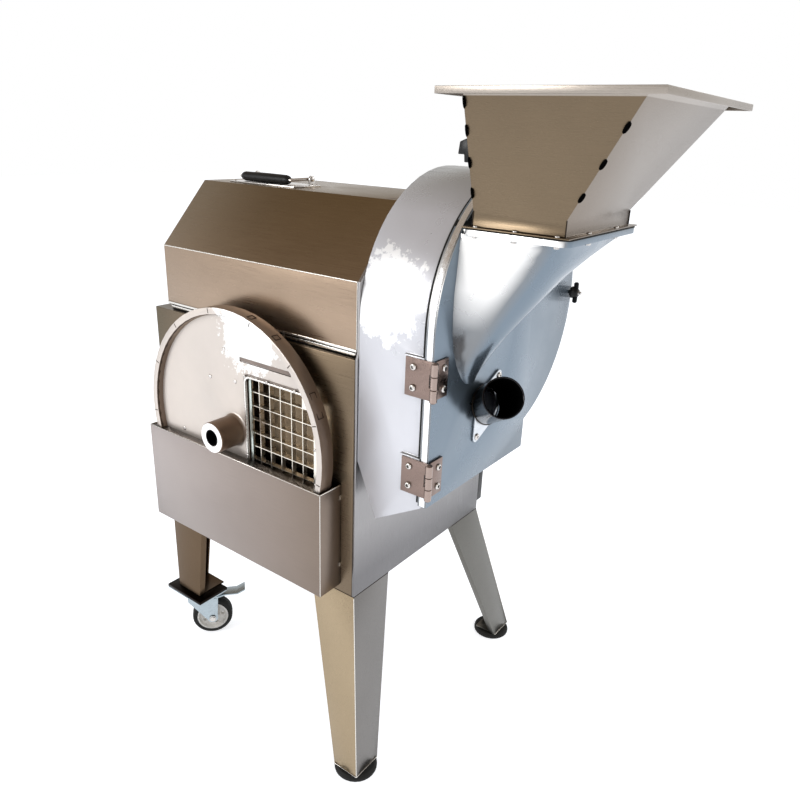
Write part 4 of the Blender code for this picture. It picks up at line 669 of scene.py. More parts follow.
def makeHandleDetails():
    h = handle
    half, steps = h["gripHalf"], 48
    # the grip swells a little towards its middle, and its ends are rounded
    profile = [(0.0033, -half)]
    for i in range(steps + 1):
        t = i / steps
        end = min(1.0, min(t, 1 - t) * steps / 3)
        swell = h["grip"] + h["swell"] * math.sin(math.pi * t)
        profile.append((swell * (0.72 + 0.28 * math.sqrt(end)), -half + 2 * half * t))
    profile.append((0.0033, half))
    middle = ((h["left"] + h["right"]) / 2, h["pivotY"] - h["reach"], h["pivotZ"] - h["gripDrop"])
    grip = lathe("gripSleeve", profile, middle, (1, 0, 0), blackPlastic, "handle", 48)
    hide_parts("handle_grip")
    corners = [(x, y, h["baseTop"]) for x in (h["left"] + 0.0002, h["right"] - 0.0002)
               for y in (h["pivotY"] - 0.052, h["pivotY"] + 0.006)]
    fastenRow("handleScrew", "cross", corners, (0, 0, 1), 0.0030, 0.0016, "hood", 20)
    head = [(0, 0), (0.0044, 0), (0.0044, 0.0010), (0.0034, 0.0018), (0, 0.0020)]
    for i, (x, side) in enumerate(((h["left"] + 0.0058, -1), (h["right"] - 0.0058, 1))):
        lathe(f"handlePinHead{i}", head, (x, h["pivotY"], h["pivotZ"]), (side, 0, 0), screwSteel, "handle", 32,
              False)


makeHoodTrim()
makeHandleDetails()
print("hood trimmed")


# Pocket: rolled top edge, painted shade in its top fold, a painted highlight down its corner bend, and two tacks
# at its right end

pocket = {"left": -0.4955, "right": -0.032, "front": -0.0534, "top": 0.548, "low": 0.347, "roll": 0.0012,
          "tackTall": 0.009, "tacks": {"Lower": 0.385, "Upper": 0.520}}


def makePocketDetails():
    left, right, front, top = (pocket[key] for key in ("left", "right", "front", "top"))
    line = [(left + 0.001, -0.003, top), (left + 0.001, front + 0.001, top),
            (right - 0.001, front + 0.001, top), (right - 0.001, -0.003, top)]
    tube("pocketRolledEdge", line, pocket["roll"], edgeAndHighlightSteel)
    for name, low in pocket["tacks"].items():
        strip(f"pocketTack{name}", (right - 0.0008, -0.0040, low),
              (right + 0.0006, -0.0004, low + pocket["tackTall"]), edgeAndHighlightSteel)
    # painted shade: a near-black strip inside the top fold
    strip("pocketFoldShade", (left + 0.002, front + 0.0012, top - 0.0016),
          (right - 0.002, front + 0.0046, top - 0.0004), slotAndShadeBlack)
    # painted highlight: a bright line down the front corner bend
    bend = [(right - 0.0004, front + 0.0004, z) for z in (pocket["low"] + 0.002, top - 0.001)]
    tube("pocketCornerHighlight", bend, 0.0006, edgeAndHighlightSteel)


# Spare disc: raised frame round the window, fasteners, rivets, rim slots, turned hub

disc = {
    "x": -0.258, "z": 0.599, "front": -0.048, "radius": 0.2257, "rim": 0.012, "recess": 0.013,
    "windowLeft": 0.032, "windowTop": 0.112, "windowBottom": -0.110, "hubReach": 0.041, "hub": 0.0285,
    "hubInner": 0.0225, "bore": 0.0148, "boreInner": 0.0112, "boreDepth": 0.064, "fillet": 0.006,
    "slots": 13, "slotStart": 18, "slotPitch": 27.7, "slotSize": (0.0085, 0.0004, 0.0016),
    "screws": [(0.0340, 0.1105), (0.0340, -0.040), (0.1560, 0.1125), (0.0900, 0.1125), (0.2010, 0.020),
               (0.2020, -0.045)],
    "rivets": [(-0.062, 0.088), (-0.020, 0.148), (-0.150, -0.040), (0.006, 0.094), (0.006, 0.018)],
    "rimPockets": [(26, 0.044), (60, 0.010), (76, 0.010), (118, 0.010)],
}
discFace = disc["front"] + disc["recess"]
discInside = disc["radius"] - disc["rim"]


def windowLoop(margin, inset, corner):
    # the window's outline: straight at the left, top and bottom, along the rim at the right
    left, top, bottom = disc["windowLeft"] - margin, disc["windowTop"] + margin, disc["windowBottom"] - margin
    radius = discInside - inset
    start, end = (math.degrees(math.asin(v / radius)) for v in (bottom, top))
    arc = arcPoints((0, 0), radius, start, end, 20)
    # the arc's two end points round off the frame's right-hand corners
    line = [(left, top), (left, bottom)] + arc[:1] + arc[3:-3] + arc[-1:]
    return roundedOutline(line, [corner, corner, corner * 0.8] + [0] * (len(line) - 4) + [corner * 0.8], 5)


def discPlate(name, loops, low, high, material, edge=0.0001):
    placed = [[(disc["x"] + u, disc["z"] + v) for u, v in loop] for loop in loops]
    plate(name, placed, "xz", discFace + low, discFace + high, material, "spare_disc", edge)


def discLathe(name, profile, along, material, steps):
    lathe(name, profile, (disc["x"], along, disc["z"]), (0, -1, 0), material, "spare_disc", steps)


def makeRimSlots():
    # dark slots across the rim's face, and milled pockets on its outside
    slots = bmesh.new()

    def block(place, size):
        bmesh.ops.create_cube(slots, size=1, matrix=place @ Matrix.Diagonal((*size, 1)))

    radius, front, cx, cz = (disc[key] for key in ("radius", "front", "x", "z"))
    reach = radius - disc["rim"] / 2
    for i in range(disc["slots"]):
        a = math.radians(disc["slotStart"] + i * disc["slotPitch"])
        place = Matrix.Translation(at(cx + reach * math.cos(a), front, cz + reach * math.sin(a)))
        block(place @ Matrix.Rotation(-a, 4, "Y"), disc["slotSize"])
    for degrees, long in disc["rimPockets"]:
        place = Matrix.Translation(at(cx, front + 0.0135, cz)) @ Matrix.Rotation(-math.radians(degrees), 4, "Y")
        place = place @ Matrix.Translation((radius * math.cos(long / 2 / radius), 0, 0))
        for side in (-1, 1):
            block(place @ Matrix.Translation((0, 0.006 * side, 0)), (0.0012, 0.0012, long))
        for side in (-1, 1):
            block(place @ Matrix.Translation((0, 0, long / 2 * side)), (0.0012, 0.0132, 0.0012))
    newPiece("rimSlots", meshOf("rimSlots", slots), slotAndShadeCast, "spare_disc")


def makeSpareDisc():
    cx, cz, hub, bore, recess = (disc[key] for key in ("x", "z", "hub", "bore", "recess"))
    discPlate("windowFrame", [windowLoop(0.0004, 0.0052, 0.013), windowLoop(-0.0030, 0.0088, 0.012)], -0.0034,
              0.0002, windowSteel, 0.0009)
    # the thin dark joint round the frame
    discPlate("frameJoint", [windowLoop(0.0036, 0.0022, 0.015), windowLoop(0.0020, 0.0038, 0.014)], -0.0007,
              0.0004, slotTone)
    # the grid's clamping bar down the window's left side, and beside it a near-black strip as painted shade on
    # the window's wall
    low, high = cz + disc["windowBottom"] + 0.002, cz + disc["windowTop"] - 0.002
    left = cx + disc["windowLeft"]
    for name, start, end, front, material, edge in (("gridSideShade", 0.0004, 0.0066, 0.0032, slotAndShadeBlack, 0.0002),
                                                    ("gridClampBar", 0.0068, 0.0128, 0.0020, paleBar, 0.0006)):
        strip(name, (left + start, discFace + front, low), (left + end, discFace + 0.0046, high), material,
              "spare_disc", edge)
    fastenRow("windowScrew", "cross", [(cx + u, discFace - 0.0029, cz + v) for u, v in disc["screws"]],
              (0, -1, 0), 0.0030, 0.0015, "spare_disc", 25)
    fastenRow("discRivet", "rivet", [(cx + u, discFace, cz + v) for u, v in disc["rivets"]], (0, -1, 0), 0.0040,
              0.0016, "spare_disc")
    makeRimSlots()
    # painted shade: a dark lining on the recess wall
    wall = discInside - 0.0008
    discLathe("recessWallShade", [(discInside + 0.0003, 0.0), (wall, 0.0), (wall, recess - 0.0015),
                             (discInside + 0.0003, recess - 0.0008)], discFace, slotAndShadeCast, 128)
    end = disc["hubReach"] + recess
    inner = disc["hubInner"]
    discLathe("hubBarrel", [(inner, 0.0), (hub, 0.0), (hub, end - 0.0012), (hub - 0.0012, end), (inner, end)],
              discFace, hubCast, 96)
    slot = roundedOutline(rectangle(0.022, 0.143, 0.136, 0.1425), 0.003, 5)
    discPlate("discSlotFloor", [slot], -0.0004, 0.0006, slotTone)
    # painted shade: a near-black lining round the window's wall
    discPlate("windowWallShade", [windowLoop(-0.0006, 0.0068, 0.008), windowLoop(-0.0016, 0.0078, 0.0075)],
              -0.0010, 0.0048, slotAndShadeBlack)
    hubEnd = disc["front"] - disc["hubReach"]
    discLathe("hubEndRing", [(bore + 0.0002, -0.0016), (hub - 0.0014, -0.0016), (hub - 0.0010, 0.0002),
                             (hub - 0.0030, 0.0006), (bore + 0.0016, 0.0006), (bore + 0.0002, -0.0002)],
              hubEnd, polished, 64)
    inner, depth = disc["boreInner"], disc["boreDepth"]
    # painted shade: a near-black sleeve inside the hub's bore
    discLathe("hubBoreShade", [(bore + 0.0004, 0.0001), (bore + 0.0004, 0.0004), (inner, 0.0004),
                                (inner, -depth), (inner + 0.0011, -depth), (inner + 0.0011, 0.0001)], hubEnd,
              slotAndShadeBlack, 48)
    # a fillet where the hub meets the web, darkened by the disc finish's painted side shade
    r = disc["fillet"]
    root = [(hub + r - r * math.sin(a), r - r * math.cos(a)) for a in (math.pi / 16 * i for i in range(9))]
    discLathe("hubFillet", [(hub - 0.0004, 0.0), (hub + r, -0.0002)] + root + [(hub - 0.0004, r)], discFace,
              discCast, 64)


makePocketDetails()
makeSpareDisc()
print("pocket and disc fitted")


# Housing and door: a painted highlight band on the door's rim, seal bead in the seam, hinge screws and knuckles,
# feed tube, latch knob

housing = {"y": 0.229, "z": 0.842, "radius": 0.2265, "doorRadius": 0.2329, "face": 0.1460, "back": 0.1303,
           "neck": 0.3035, "doorLow": 0.569}
hinges = {"knuckleX": 0.1515, "knuckleY": -0.0087, "tall": 0.060, "low": {"Lower": 0.587, "Upper": 0.749},
          "casingScrew": (0.1125, -0.0066), "doorScrew": (0.1487, 0.0205), "screwRows": (0.0135, 0.0465),
          "screwRadius": 0.0056, "screwTall": 0.0034}


def housingLine(radius, low, count=72):
    h = housing
    neck = h["y"] - h["radius"] + h["neck"] + radius - h["radius"]
    end = math.degrees(math.acos((neck - h["y"]) / radius))
    return [(h["y"] - radius, low)] + arcPoints((h["y"], h["z"]), radius, 180, -end, count) + [(neck, low)]


def bandAlong(name, radius, thick, low, x0, x1, material, body):
    outline = housingLine(radius + thick, low) + housingLine(radius, low)[::-1]
    plate(name, [outline], "yz", x0, x1, material, body)


def makeHousingDetails():
    h = housing
    # painted highlight: a thin bright band along the door's rim
    bandAlong("doorRimHighlight", h["doorRadius"] + 0.0001, 0.0007, h["doorLow"] + 0.001, h["back"] + 0.0034,
              h["face"] - 0.0022, rimHighlight, "door")
    bandAlong("seamBead", h["radius"] + 0.0002, 0.0014, h["doorLow"] + 0.002, h["back"] - 0.0066,
              h["back"] - 0.0006, blackRubber, "machine")
    x, y, third = hinges["knuckleX"], hinges["knuckleY"], hinges["tall"] / 3
    knuckle = [(0.0048, 0.0004), (0.0054, 0.0004), (0.0058, 0.0009), (0.0058, third - 0.0009),
               (0.0054, third - 0.0004), (0.0048, third - 0.0004)]
    cap = [(0, 0), (0.0036, 0), (0.0036, 0.0008), (0.0026, 0.0016), (0, 0.0018)]
    screw = (hinges["screwRadius"], hinges["screwTall"])
    for name, low in hinges["low"].items():
        for k, row in enumerate(hinges["screwRows"]):
            fasten(f"casingHingeScrew{name}{k}", "hex", (*hinges["casingScrew"], low + row), (0, -1, 0), *screw,
                   "machine", 30 * k)
            fasten(f"doorHingeScrew{name}{k}", "hex", (*hinges["doorScrew"], low + row), (1, 0, 0), *screw,
                   "door", 15 + 30 * k)
        for k, body in enumerate(("machine", "door", "machine")):
            lathe(f"knuckleSleeve{name}{k}", knuckle, (x, y, low + third * k), (0, 0, 1), knuckleSteel, body, 40)
        for k, (z, up) in enumerate(((low - 0.0002, -1), (low + hinges["tall"] + 0.0002, 1))):
            lathe(f"hingePinCap{name}{k}", cap, (x, y, z), (0, 0, up), hingeSteel, "machine", 32, False)


feedTube = {"y": 0.1625, "z": 0.6945, "radius": 0.0318, "wall": 0.0016, "length": 0.130, "tilt": 54,
            "side": 147, "spread": 0.0555, "plate": 0.0031, "lobe": 0.0095, "stub": 0.030}


def makeFeedTube():
    t = feedTube
    tilt, side = math.radians(t["tilt"]), math.radians(t["side"])
    way = Vector((math.cos(tilt), math.sin(tilt) * math.cos(side), math.sin(tilt) * math.sin(side)))
    foot = housing["face"] + 0.0003
    base = Vector((foot, t["y"], t["z"]))
    r, high, stub = t["radius"], t["length"], t["stub"]
    bore = r - t["wall"]
    profile = [(r, 0.002), (r, high - 0.0022), (r + 0.0005, high - 0.0016), (r + 0.0006, high - 0.0006),
               (r - t["wall"] / 2, high), (bore, high - 0.0008), (bore, 0.002)]
    sleeve = lathe("feedTubeShell", profile, base, way, tubeSteel, None)
    # cut square to the door's face at its foot
    reach = 0.15
    carve(sleeve, [strip("tubeFootCut", (housing["face"] - 0.10, t["y"] - reach, t["z"] - reach),
                         (foot + 0.0001, t["y"] + reach, t["z"] + reach), None, None, 0.00005, 1)])
    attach(sleeve, "door")
    # the tube's inner part reaches through the door, as the solid does; its near-black lining is painted shade
    # inside the tube
    profile = [(0.0299, -stub), (0.0299, 0.0), (bore - 0.0001, 0.006), (bore - 0.0001, high - 0.0012),
               (bore - 0.0009, high - 0.0020), (bore - 0.0009, 0.006), (0.0286, 0.0), (0.0286, -stub)]
    lathe("feedTubeShadeLining", profile, base, way, slotAndShadeBlack, "door", 64)
    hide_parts("feed_tube")
    across = Vector((-math.sin(side), math.cos(side)))
    heading = math.degrees(math.atan2(across.y, across.x))
    centre = Vector((t["y"], t["z"]))
    big, small, spread = r + 0.0065, t["lobe"], t["spread"]
    lean = math.degrees(math.acos((big - small) / spread))
    outline = []
    for turn, sign in ((0, 1), (180, -1)):
        start = heading + turn
        outline += arcPoints(centre + across * spread * sign, small, start - lean, start + lean, 12)
        outline += arcPoints(centre, big, start + lean, start + 180 - lean, 10)
    hole = arcPoints(centre, bore - 0.001, 0, 352.5, 47)
    plate("feedTubePlate", [outline, hole], "yz", foot, foot + t["plate"], plateSteel, "door", 0.0005)
    spots = [centre + across * spread * sign for sign in (1, -1)]
    fastenRow("feedPlateScrew", "cross", [(housing["face"] + t["plate"], *spot) for spot in spots], (1, 0, 0),
              0.0058, 0.0034, "door", 40, 35)
    # weld run where the slanted tube meets its plate
    sideways = Vector((0, -way.z, way.y)).normalized()
    upward = way.cross(sideways).normalized()
    ring = []
    for u, v in circle(r, 64):
        p = base + sideways * u + upward * v
        ring.append(p + way * ((foot + 0.0031 - p.x) / way.x))
    tube("feedTubeWeld", ring, 0.0011, weldTint, "door", True)


latch = {"x": 0.104, "foot": 0.1469, "long": 0.014, "pinTop": 0.0110, "wingHalf": 0.0024,
         "bracketX": 0.0835, "bracketRows": (-0.0145, 0.0145)}


def makeLatchKnob():
    foot, long = latch["foot"], latch["long"]
    y, z = housing["y"] + housing["doorRadius"] + 0.0005, housing["z"]
    profile = [(0.0041, 0), (0.0105, 0), (0.0112, 0.0008), (0.0112, 0.0045), (0.0104, 0.0060), (0.0092, 0.0075),
               (0.0082, 0.0110), (0.0074, long - 0.0008), (0.0064, long), (0.0041, long)]
    knob = lathe("wingKnob", profile, (foot, y, z), (1, 0, 0), blackPlastic, "latch_wing", 48)
    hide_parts("latch_knob")
    for i, sign in enumerate((1, -1)):
        outline = [(foot + along, z + sign * out) for along, out in ((0.0045, 0.006), (0.0035, 0.0195),
                                                                     (0.0125, 0.0205), (0.0128, 0.006))]
        wing = roundedOutline(outline[::sign], [0, 0.0035, 0.0035, 0], 5)
        half = latch["wingHalf"]
        plate(f"knobWing{i}", [wing], "xz", y - half, y + half, blackPlastic, "latch_wing", 0.0009)
    fasten("latchPinHead", "rivet", (latch["x"], y, z + latch["pinTop"]), (0, 0, 1), 0.0042, 0.0016)
    rear = housing["y"] + housing["radius"] + 0.0029
    spots = [(latch["bracketX"], rear, z + dz) for dz in latch["bracketRows"]]
    fastenRow("latchBracketScrew", "cross", spots, (0, 1, 0), 0.0034, 0.0020, turn=40)


makeHousingDetails()
makeFeedTube()
makeLatchKnob()
print("housing fitted")


# Hopper: dark slots with bent tabs down its front corners, flange screws, gasket edge, neck welds

hopper = {"low": 0.996, "neckHigh": 0.023, "rim": 1.171, "x0": 0.1593, "x1": 0.2993, "y0": 0.054, "y1": 0.283,
          "reach": 0.104, "sideFlare": 0.007, "frontFlare": 0.059, "flangeTop": 0.9981,
          "flangeUnder": 0.9862, "flangeX": (0.1483, 0.3103), "flangeY": (0.043, 0.294),
          "screwInset": 0.0056, "gasketLow": 0.9942, "gasketHigh": 0.9957}
cornerTab = {"long": 0.0165, "wide": 0.0034, "proud": 0.0012,
             "shares": {"right": (0.20, 0.47, 0.74), "left": (0.16, 0.42, 0.68, 0.90)}}


def cornerPoint(side, share):
    h = hopper
    low = h["low"] + h["neckHigh"]
    x = h["x1"] + h["reach"] * share if side == "right" else h["x0"] + h["sideFlare"] * share
    return Vector((x, h["y0"] - h["frontFlare"] * share, low + (h["rim"] - low) * share))


def makeCornerTabs():
    for side, shares in cornerTab["shares"].items():
        along = (cornerPoint(side, 1) - cornerPoint(side, 0)).normalized()
        outward = Vector((1 if side == "right" else -1, -1, -0.35)).normalized()
        outward = (outward - along * outward.dot(along)).normalized()
        sideways = along.cross(outward)
        for i, share in enumerate(shares):
            rings = []
            for t in (k / 8 for k in range(9)):
                end = math.sin(math.pi * t) ** 0.35 if 0 < t < 1 else 0.05
                here = cornerPoint(side, share) + along * (t - 0.5) * cornerTab["long"] + outward * 0.0002
                rings.append([at(*here + sideways * cornerTab["wide"] * u + outward * cornerTab["proud"] * v)
                              for u, v in circle(end, 10)])
            bm = bmesh.new()
            rows = ringsToMesh(bm, rings)
            bm.faces.new(rows[0])
            bm.faces.new(rows[-1])
            newPiece(f"cornerTabFront{side}{i}", meshOf("cornerTab", bm, 60), slotAndShadeBlack, "door")


def makeHopperDetails():
    h = hopper
    makeCornerTabs()
    (left, right), (front, rear) = h["flangeX"], h["flangeY"]
    inset = h["screwInset"]
    spots = [(left + (right - left) * t, y) for t in (0.12, 0.5, 0.88) for y in (front + inset, rear - inset)]
    spots += [(x, front + (rear - front) * t) for t in (0.3, 0.7) for x in (left + inset, right - inset)]
    for i, (x, y) in enumerate(spots):
        fasten(f"flangeScrew{i}", "cross", (x, y, h["flangeTop"]), (0, 0, 1), 0.0036, 0.0024, "door", 21 * i)
        fasten(f"flangeNut{i}", "hexBolt", (x, y, h["flangeUnder"]), (0, 0, -1), 0.0042, 0.0032, "door", 13 * i)
    outer = roundedOutline(rectangle(left - 0.0003, right + 0.0004, front - 0.0004, rear + 0.0004), 0.015, 6)
    inner = roundedOutline(rectangle(left + 0.003, right - 0.003, front + 0.003, rear - 0.003), 0.012, 6)
    plate("gasketEdge", [outer, inner], "xy", h["gasketLow"], h["gasketHigh"], blackRubber, "door")
    for i, (x, y) in enumerate(rectangle(h["x0"], h["x1"], h["y0"], h["y1"])):
        tube(f"neckWeld{i}", [(x, y, h["low"] + 0.0025), (x, y, h["low"] + h["neckHigh"])], 0.0009, weldTint,
             "door")


makeHopperDetails()
print("hopper fitted")


# Casters: treaded tyre, spoked core, ball race ring, plate bolts, axle nuts

caster = {"plateTop": 0.118, "wheel": 0.045, "tyre": 0.010, "half": 0.015, "heading": 50, "trail": 0.030,
          "holes": 5, "holeRadius": 0.0044, "holeReach": 0.0225, "boltX": 0.044, "boltY": 0.027,
          "axleHalf": 0.0238,
          "spots": {"front": (-0.486, 0.023), "rear": (-0.486, 0.403)}}


def mirrored(profile):
    return [(radius, -along) for radius, along in reversed(profile)]


def makeCasters():
    c = caster
    r, half, top = c["wheel"], c["half"], c["plateTop"]
    heading = math.radians(c["heading"])
    ahead = Vector((math.cos(heading), math.sin(heading), 0))
    axle = Vector((-math.sin(heading), math.cos(heading), 0))
    tread = [(r - 0.0100, -half), (r - 0.0060, -half), (r - 0.0022, -half + 0.0016),
             (r - 0.0004, -half + 0.0050), (r, -0.0056), (r - 0.0012, -0.0050), (r - 0.0012, -0.0038),
             (r, -0.0032)]
    rim = r - c["tyre"] - 0.0003
    side = [(rim, half - 0.001), (rim - 0.0035, half - 0.0005), (rim - 0.0050, 0.0060), (0.0160, 0.0045),
            (0.0140, half + 0.0015), (0.0120, half + 0.0020), (0.0044, half + 0.0020)]
    core = mirrored(side)[-1:] + side + mirrored(side)[:-1]
    race = [(0.0262, 0.0), (0.0285, -0.0012), (0.0290, -0.0045), (0.0280, -0.0070), (0.0262, -0.0070)]
    cut = c["holeRadius"]
    for name, (x, y) in c["spots"].items():
        centre = Vector((x, y, r)) + ahead * c["trail"]
        tyre = lathe(f"treadedTyre_{name}", tread + mirrored(tread), centre, axle, dustyRubber,
                     f"{name}_wheel", 72)
        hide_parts(f"caster_tyre_{name}")
        wheel = lathe(f"wheelCore_{name}", core, centre, axle, wheelNylon, None, 72)
        holes = []
        for k, (u, v) in enumerate(circle(c["holeReach"], c["holes"])):
            start = centre + ahead * u + Vector((0, 0, v)) - axle * 0.03
            holes.append(lathe(f"coreHole{k}", [(0, 0), (cut, 0), (cut, 0.06), (0, 0.06)], start, axle, None,
                               None, 32, False))
        carve(wheel, holes)
        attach(wheel, f"{name}_wheel")
        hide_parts(f"caster_wheel_{name}")
        lathe(f"raceRing_{name}", race, (x, y, top - 0.0036), (0, 0, 1), zincPlate, "machine", 64)
        spots = rectangle(x - c["boltX"], x + c["boltX"], y - c["boltY"], y + c["boltY"])
        corners = [(*spot, top - 0.0031) for spot in spots]
        fastenRow(f"casterBolt_{name}", "hexBolt", corners, (0, 0, -1), 0.0058, 0.0046, turn=11)
        for k, sign in enumerate((-1, 1)):
            fasten(f"axleNut_{name}{k}", "hexBolt", centre + axle * sign * c["axleHalf"], axle * sign, 0.0062,
                   0.0030, f"{name}_caster", 10 * k)


legs = {"left": -0.520, "rear": 0.426, "weldZ": 0.3312, "rightWide": 0.102, "leftWide": 0.098,
        "footX": 0.072, "footOut": 0.071, "rimZ": 0.0130, "studIn": (0.0265, 0.0305), "studZ": 0.0152}


def makeLegDetails():
    # welds along the top flange of each leg
    g = legs
    for name, x, sx, wide in (("right", 0.0, -1, g["rightWide"]), ("left", g["left"], 1, g["leftWide"])):
        for end, y, sy in (("front", 0.0, 1), ("rear", g["rear"], -1)):
            line = [(x + sx * u, y + sy * v, g["weldZ"]) for u, v in ((wide, 0.0004), (0.0004, 0.0004),
                                                                     (0.0004, wide))]
            tube(f"legWeld_{end}_{name}", line, 0.0008, weldTint)
    # painted highlight lines along the right legs' foot edges and corner bends, and the washer and nut of each
    # foot
    washer = [(0.0046, 0), (0.0120, 0), (0.0124, 0.0005), (0.0120, 0.0010), (0.0046, 0.0010)]
    x = g["footX"]
    for name, hip, side in (("front", 0.0, 1), ("rear", g["rear"], -1)):
        y = hip - side * g["footOut"]
        stud = (x - g["studIn"][0], y + side * g["studIn"][1])
        rim = [(x + dx, y + side * dy, g["rimZ"]) for dx, dy in ((-0.0525, -0.0004), (0.0002, -0.0004),
                                                                (0.0002, 0.0600))]
        tube(f"footEdgeHighlight_{name}", rim, 0.0007, edgeAndHighlightSteel)
        tube(f"legBendHighlight_{name}", [(0.0002, hip, 0.329), (x, y, g["rimZ"] + 0.0005)], 0.0007, edgeAndHighlightSteel)
        lathe(f"footWasher_{name}", washer, (*stud, g["studZ"]), (0, 0, 1), screwSteel, "machine", 48)
        fasten(f"footNut_{name}", "hexBolt", (*stud, g["studZ"] + 0.0010), (0, 0, 1), 0.0080, 0.0060)


makeCasters()
makeLegDetails()
print("legs and casters fitted")


# Rear: pressed louvre hoods, panel screws, hinge screws, switch box lid and collars

panel = {"face": 0.4283, "left": -0.445, "right": -0.095, "low": 0.405, "high": 0.735, "inset": 0.0075,
         "slotLeft": -0.403, "slotRight": -0.137, "first": 0.43875, "pitch": 0.01875, "count": 8,
         "proud": 0.0052, "tall": 0.0085, "sheet": 0.0008}
switch = {"left": -0.060, "width": 0.052, "low": 0.341, "high": 0.426, "back": 0.4603,
          "buttons": {"Stop": 0.28, "Start": 0.72}, "holeRadius": 0.0125, "screwReach": 0.020,
          "screwRows": (0.347, 0.420)}
# the hood's hinges, and for each row of screws its y, z, body and turn
hoodHinge = {"x": (-0.400, -0.100), "screws": (-0.016, 0.016),
             "rows": {"Low": (0.4278, 0.7610, "machine", 23), "High": (0.4222, 0.8120, "hood", 41)}}


def makeLouvres():
    x0, x1, tall = panel["slotLeft"], panel["slotRight"], panel["tall"]
    lengthSteps, roundSteps, openSteps = 24, 10, 2
    for k in range(panel["count"]):
        z = panel["first"] + panel["pitch"] * k - 0.001
        bm = bmesh.new()
        rows = []
        for t in (i / lengthSteps for i in range(lengthSteps + 1)):
            end = min(1.0, math.sin(math.pi * t) * 4) ** 0.6 if 0 < t < 1 else 0.03
            turns = [math.pi * j / roundSteps for j in range(roundSteps + 1)]
            rows.append([bm.verts.new(at(x0 + (x1 - x0) * t,
                                         panel["face"] - 0.0002 + panel["proud"] * end * math.sin(a) ** 0.8,
                                         z + tall - tall * math.cos(a) * 0.9)) for a in turns])
        for lower, upper in zip(rows, rows[1:]):
            for j in range(openSteps, roundSteps):
                bm.faces.new((lower[j], lower[j + 1], upper[j + 1], upper[j]))
        hood = newPiece(f"louvreHood{k}", meshOf(f"louvreHood{k}", bm, 50), cabinetSteel, "machine")
        shell = hood.modifiers.new("sheet", "SOLIDIFY")
        shell.thickness = panel["sheet"]
        shell.offset = 0


def makeRearDetails():
    makeLouvres()
    low, high, inset = panel["low"], panel["high"], panel["inset"]
    xs = [panel["left"] + inset, (panel["left"] + panel["right"]) / 2, panel["right"] - inset]
    zs = [low + inset, (low + high) / 2, high - inset]
    for i, x in enumerate(xs):
        for j, z in enumerate(zs):
            if (i, j) != (1, 1):
                fasten(f"panelScrew{i}{j}", "cross", (x, panel["face"] - 0.0001, z), (0, 1, 0), 0.0040, 0.0024,
                       "machine", 17 * i + 31 * j)
    for index, x in enumerate(hoodHinge["x"], 1):
        for k, dx in enumerate(hoodHinge["screws"]):
            for name, (y, z, body, turn) in hoodHinge["rows"].items():
                fasten(f"hoodHingeScrew{name}{index}{k}", "cross", (x + dx, y, z), (0, 1, 0), 0.0032, 0.0018,
                       body, turn * k)
    s = switch
    left, right = s["left"], s["left"] + s["width"]
    x, back = (left + right) / 2, s["back"]
    outline = roundedOutline(rectangle(left + 0.003, right - 0.003, s["low"] + 0.003, s["high"] - 0.003), 0.004,
                             5)
    heights = {name: s["low"] + (s["high"] - s["low"]) * share for name, share in s["buttons"].items()}
    holes = [arcPoints((x, z), s["holeRadius"], 0, 352.5, 47) for z in heights.values()]
    plate("switchLid", [outline] + holes, "xz", back - 0.0002, back + 0.0014, blackPlastic, "machine", 0.0005)
    collar = [(0.0118, -0.0005), (0.0150, -0.0005), (0.0150, 0.0022), (0.0138, 0.0032), (0.0124, 0.0032),
              (0.0118, 0.0026)]
    for name, z in heights.items():
        lathe(f"buttonCollar{name}", collar, (x, back + 0.0002, z), (0, 1, 0), greyEnamel, "machine", 48)
    corners = [(x + s["screwReach"] * side, back + 0.0012, z) for z in s["screwRows"] for side in (-1, 1)]
    fastenRow("switchScrew", "cross", corners, (0, 1, 0), 0.0024, 0.0012, turn=15)


makeRearDetails()
print("rear fitted")


# Floor, light and camera

def combine(tree, operation, first, second):
    return addNode(tree, "ShaderNodeMath", {0: first, 1: second}, operation=operation).outputs[0]


studio = {"tone": (0.78, 0.80, 0.83), "glow": 0.62, "roughness": 0.9, "reach": 14, "drop": 0.0002}


def makeFloor():
    # seen directly or mirrored, the floor adds a little of its own white
    material, tree, shader = newTree("paleFloor")
    rays = addNode(tree, "ShaderNodeLightPath").outputs
    seen = combine(tree, "MAXIMUM", rays["Is Camera Ray"], rays["Is Glossy Ray"])
    seen = combine(tree, "MAXIMUM", seen, rays["Is Transmission Ray"])
    shader.inputs["Base Color"].default_value = (*studio["tone"], 1)
    shader.inputs["Roughness"].default_value = studio["roughness"]
    shader.inputs["Specular IOR Level"].default_value = 0.0
    shader.inputs["Emission Color"].default_value = (1, 1, 1, 1)
    tree.links.new(combine(tree, "MULTIPLY", seen, studio["glow"]), shader.inputs["Emission Strength"])
    mesh = bpy.data.meshes.new("studioFloor")
    reach = studio["reach"]
    mesh.from_pydata([(x, y, 0) for x, y in rectangle(-reach, reach, -reach, reach)], [], [(0, 1, 2, 3)])
    mesh.materials.append(material)
    floor = newPiece("studioFloor", mesh)
    floor.location.z = -studio["drop"]


makeFloor()

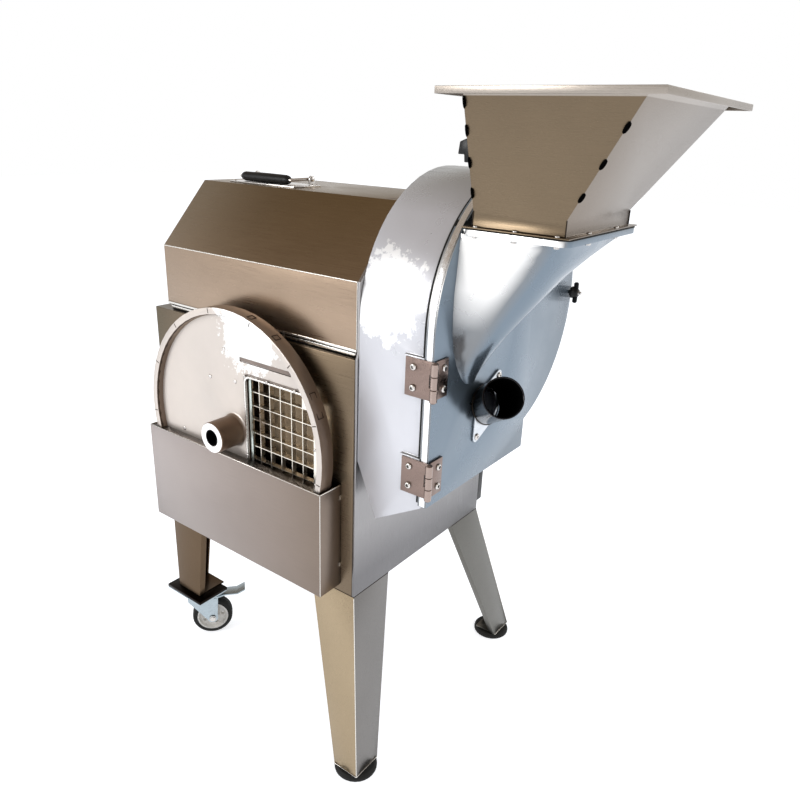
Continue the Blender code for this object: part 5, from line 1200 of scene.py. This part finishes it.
light = {
    "sky": 0.85, "zenith": (0.46, 0.38, 0.31), "horizon": (1.0, 1.0, 1.0),
    "key": ((-1.6, -2.6, 1.6), 1.6, 42), "fill": ((2.6, -1.6, 2.0), 1.2, 10),
    "rear": ((1.2, 2.6, 2.4), 1.4, 22), "lookAt": (-0.05, 0.15, 0.75),
}
world = bpy.data.worlds.new("softRoom")
bpy.context.scene.world = world
world.use_nodes = True
room = world.node_tree
background = room.nodes["Background"]
direction = addNode(room, "ShaderNodeTexCoord").outputs["Generated"]
height = addNode(room, "ShaderNodeSeparateXYZ", {"Vector": direction}).outputs["Z"]
lift = span(room, height, 0.0, 1.0, 0.22, 0.62)
skyTone = toneRamp(room, lift, [(0.0, light["horizon"]), (1.0, light["zenith"])])
rays = addNode(room, "ShaderNodeLightPath").outputs
# matt surfaces get a neutral sky, so that the pale castings and the floor stay white
plain = blendTone(room, rays["Is Diffuse Ray"], skyTone, (0.84, 0.85, 0.88))
room.links.new(plain, background.inputs["Color"])
background.inputs["Strength"].default_value = light["sky"]
white = addNode(room, "ShaderNodeBackground", {"Color": (1, 1, 1, 1), "Strength": 1.0})
low = span(room, height, 1.0, 0.0, 0.18, 0.30)
reflected = combine(room, "MULTIPLY", rays["Is Glossy Ray"], low)
seen = combine(room, "MAXIMUM", rays["Is Camera Ray"], rays["Is Transmission Ray"])
seen = combine(room, "MAXIMUM", seen, reflected)
both = addNode(room, "ShaderNodeMixShader", {0: seen, 1: background.outputs[0], 2: white.outputs[0]})
room.links.new(both.outputs[0], room.nodes["World Output"].inputs["Surface"])


def softLamp(name, place, size, power):
    data = bpy.data.lights.new(name, "AREA")
    data.shape = "RECTANGLE"
    data.size = size
    data.size_y = size * 0.7
    data.energy = power
    lamp = bpy.data.objects.new(name, data)
    bpy.context.scene.collection.objects.link(lamp)
    lamp.location = at(*place)
    lamp.rotation_euler = (at(*light["lookAt"]) - lamp.location).to_track_quat("-Z", "Y").to_euler()


for name in ("key", "fill", "rear"):
    softLamp(name + "Light", *light[name])

view = {"place": (0.6815, -0.8207, 1.1186), "yaw": 35.985, "down": 20.755, "roll": 2.260, "lens": 31.894}
yaw, down, roll = (math.radians(view[key]) for key in ("yaw", "down", "roll"))
forward = Vector((-math.sin(yaw) * math.cos(down), math.cos(yaw) * math.cos(down), -math.sin(down)))
right = Vector((math.cos(yaw), math.sin(yaw), 0))
up = right.cross(forward)
tiltedRight = right * math.cos(roll) + up * math.sin(roll)
tiltedUp = up * math.cos(roll) - right * math.sin(roll)
cameraData = bpy.data.cameras.new("photoCamera")
cameraData.lens = view["lens"]
cameraData.sensor_width = 36
camera = bpy.data.objects.new("photoCamera", cameraData)
bpy.context.scene.collection.objects.link(camera)
camera.matrix_world = (Matrix.Translation(at(*view["place"]))
                       @ Matrix((tiltedRight, tiltedUp, -forward)).transposed().to_4x4())
bpy.context.scene.camera = camera
bpy.context.scene.view_settings.view_transform = "Standard"
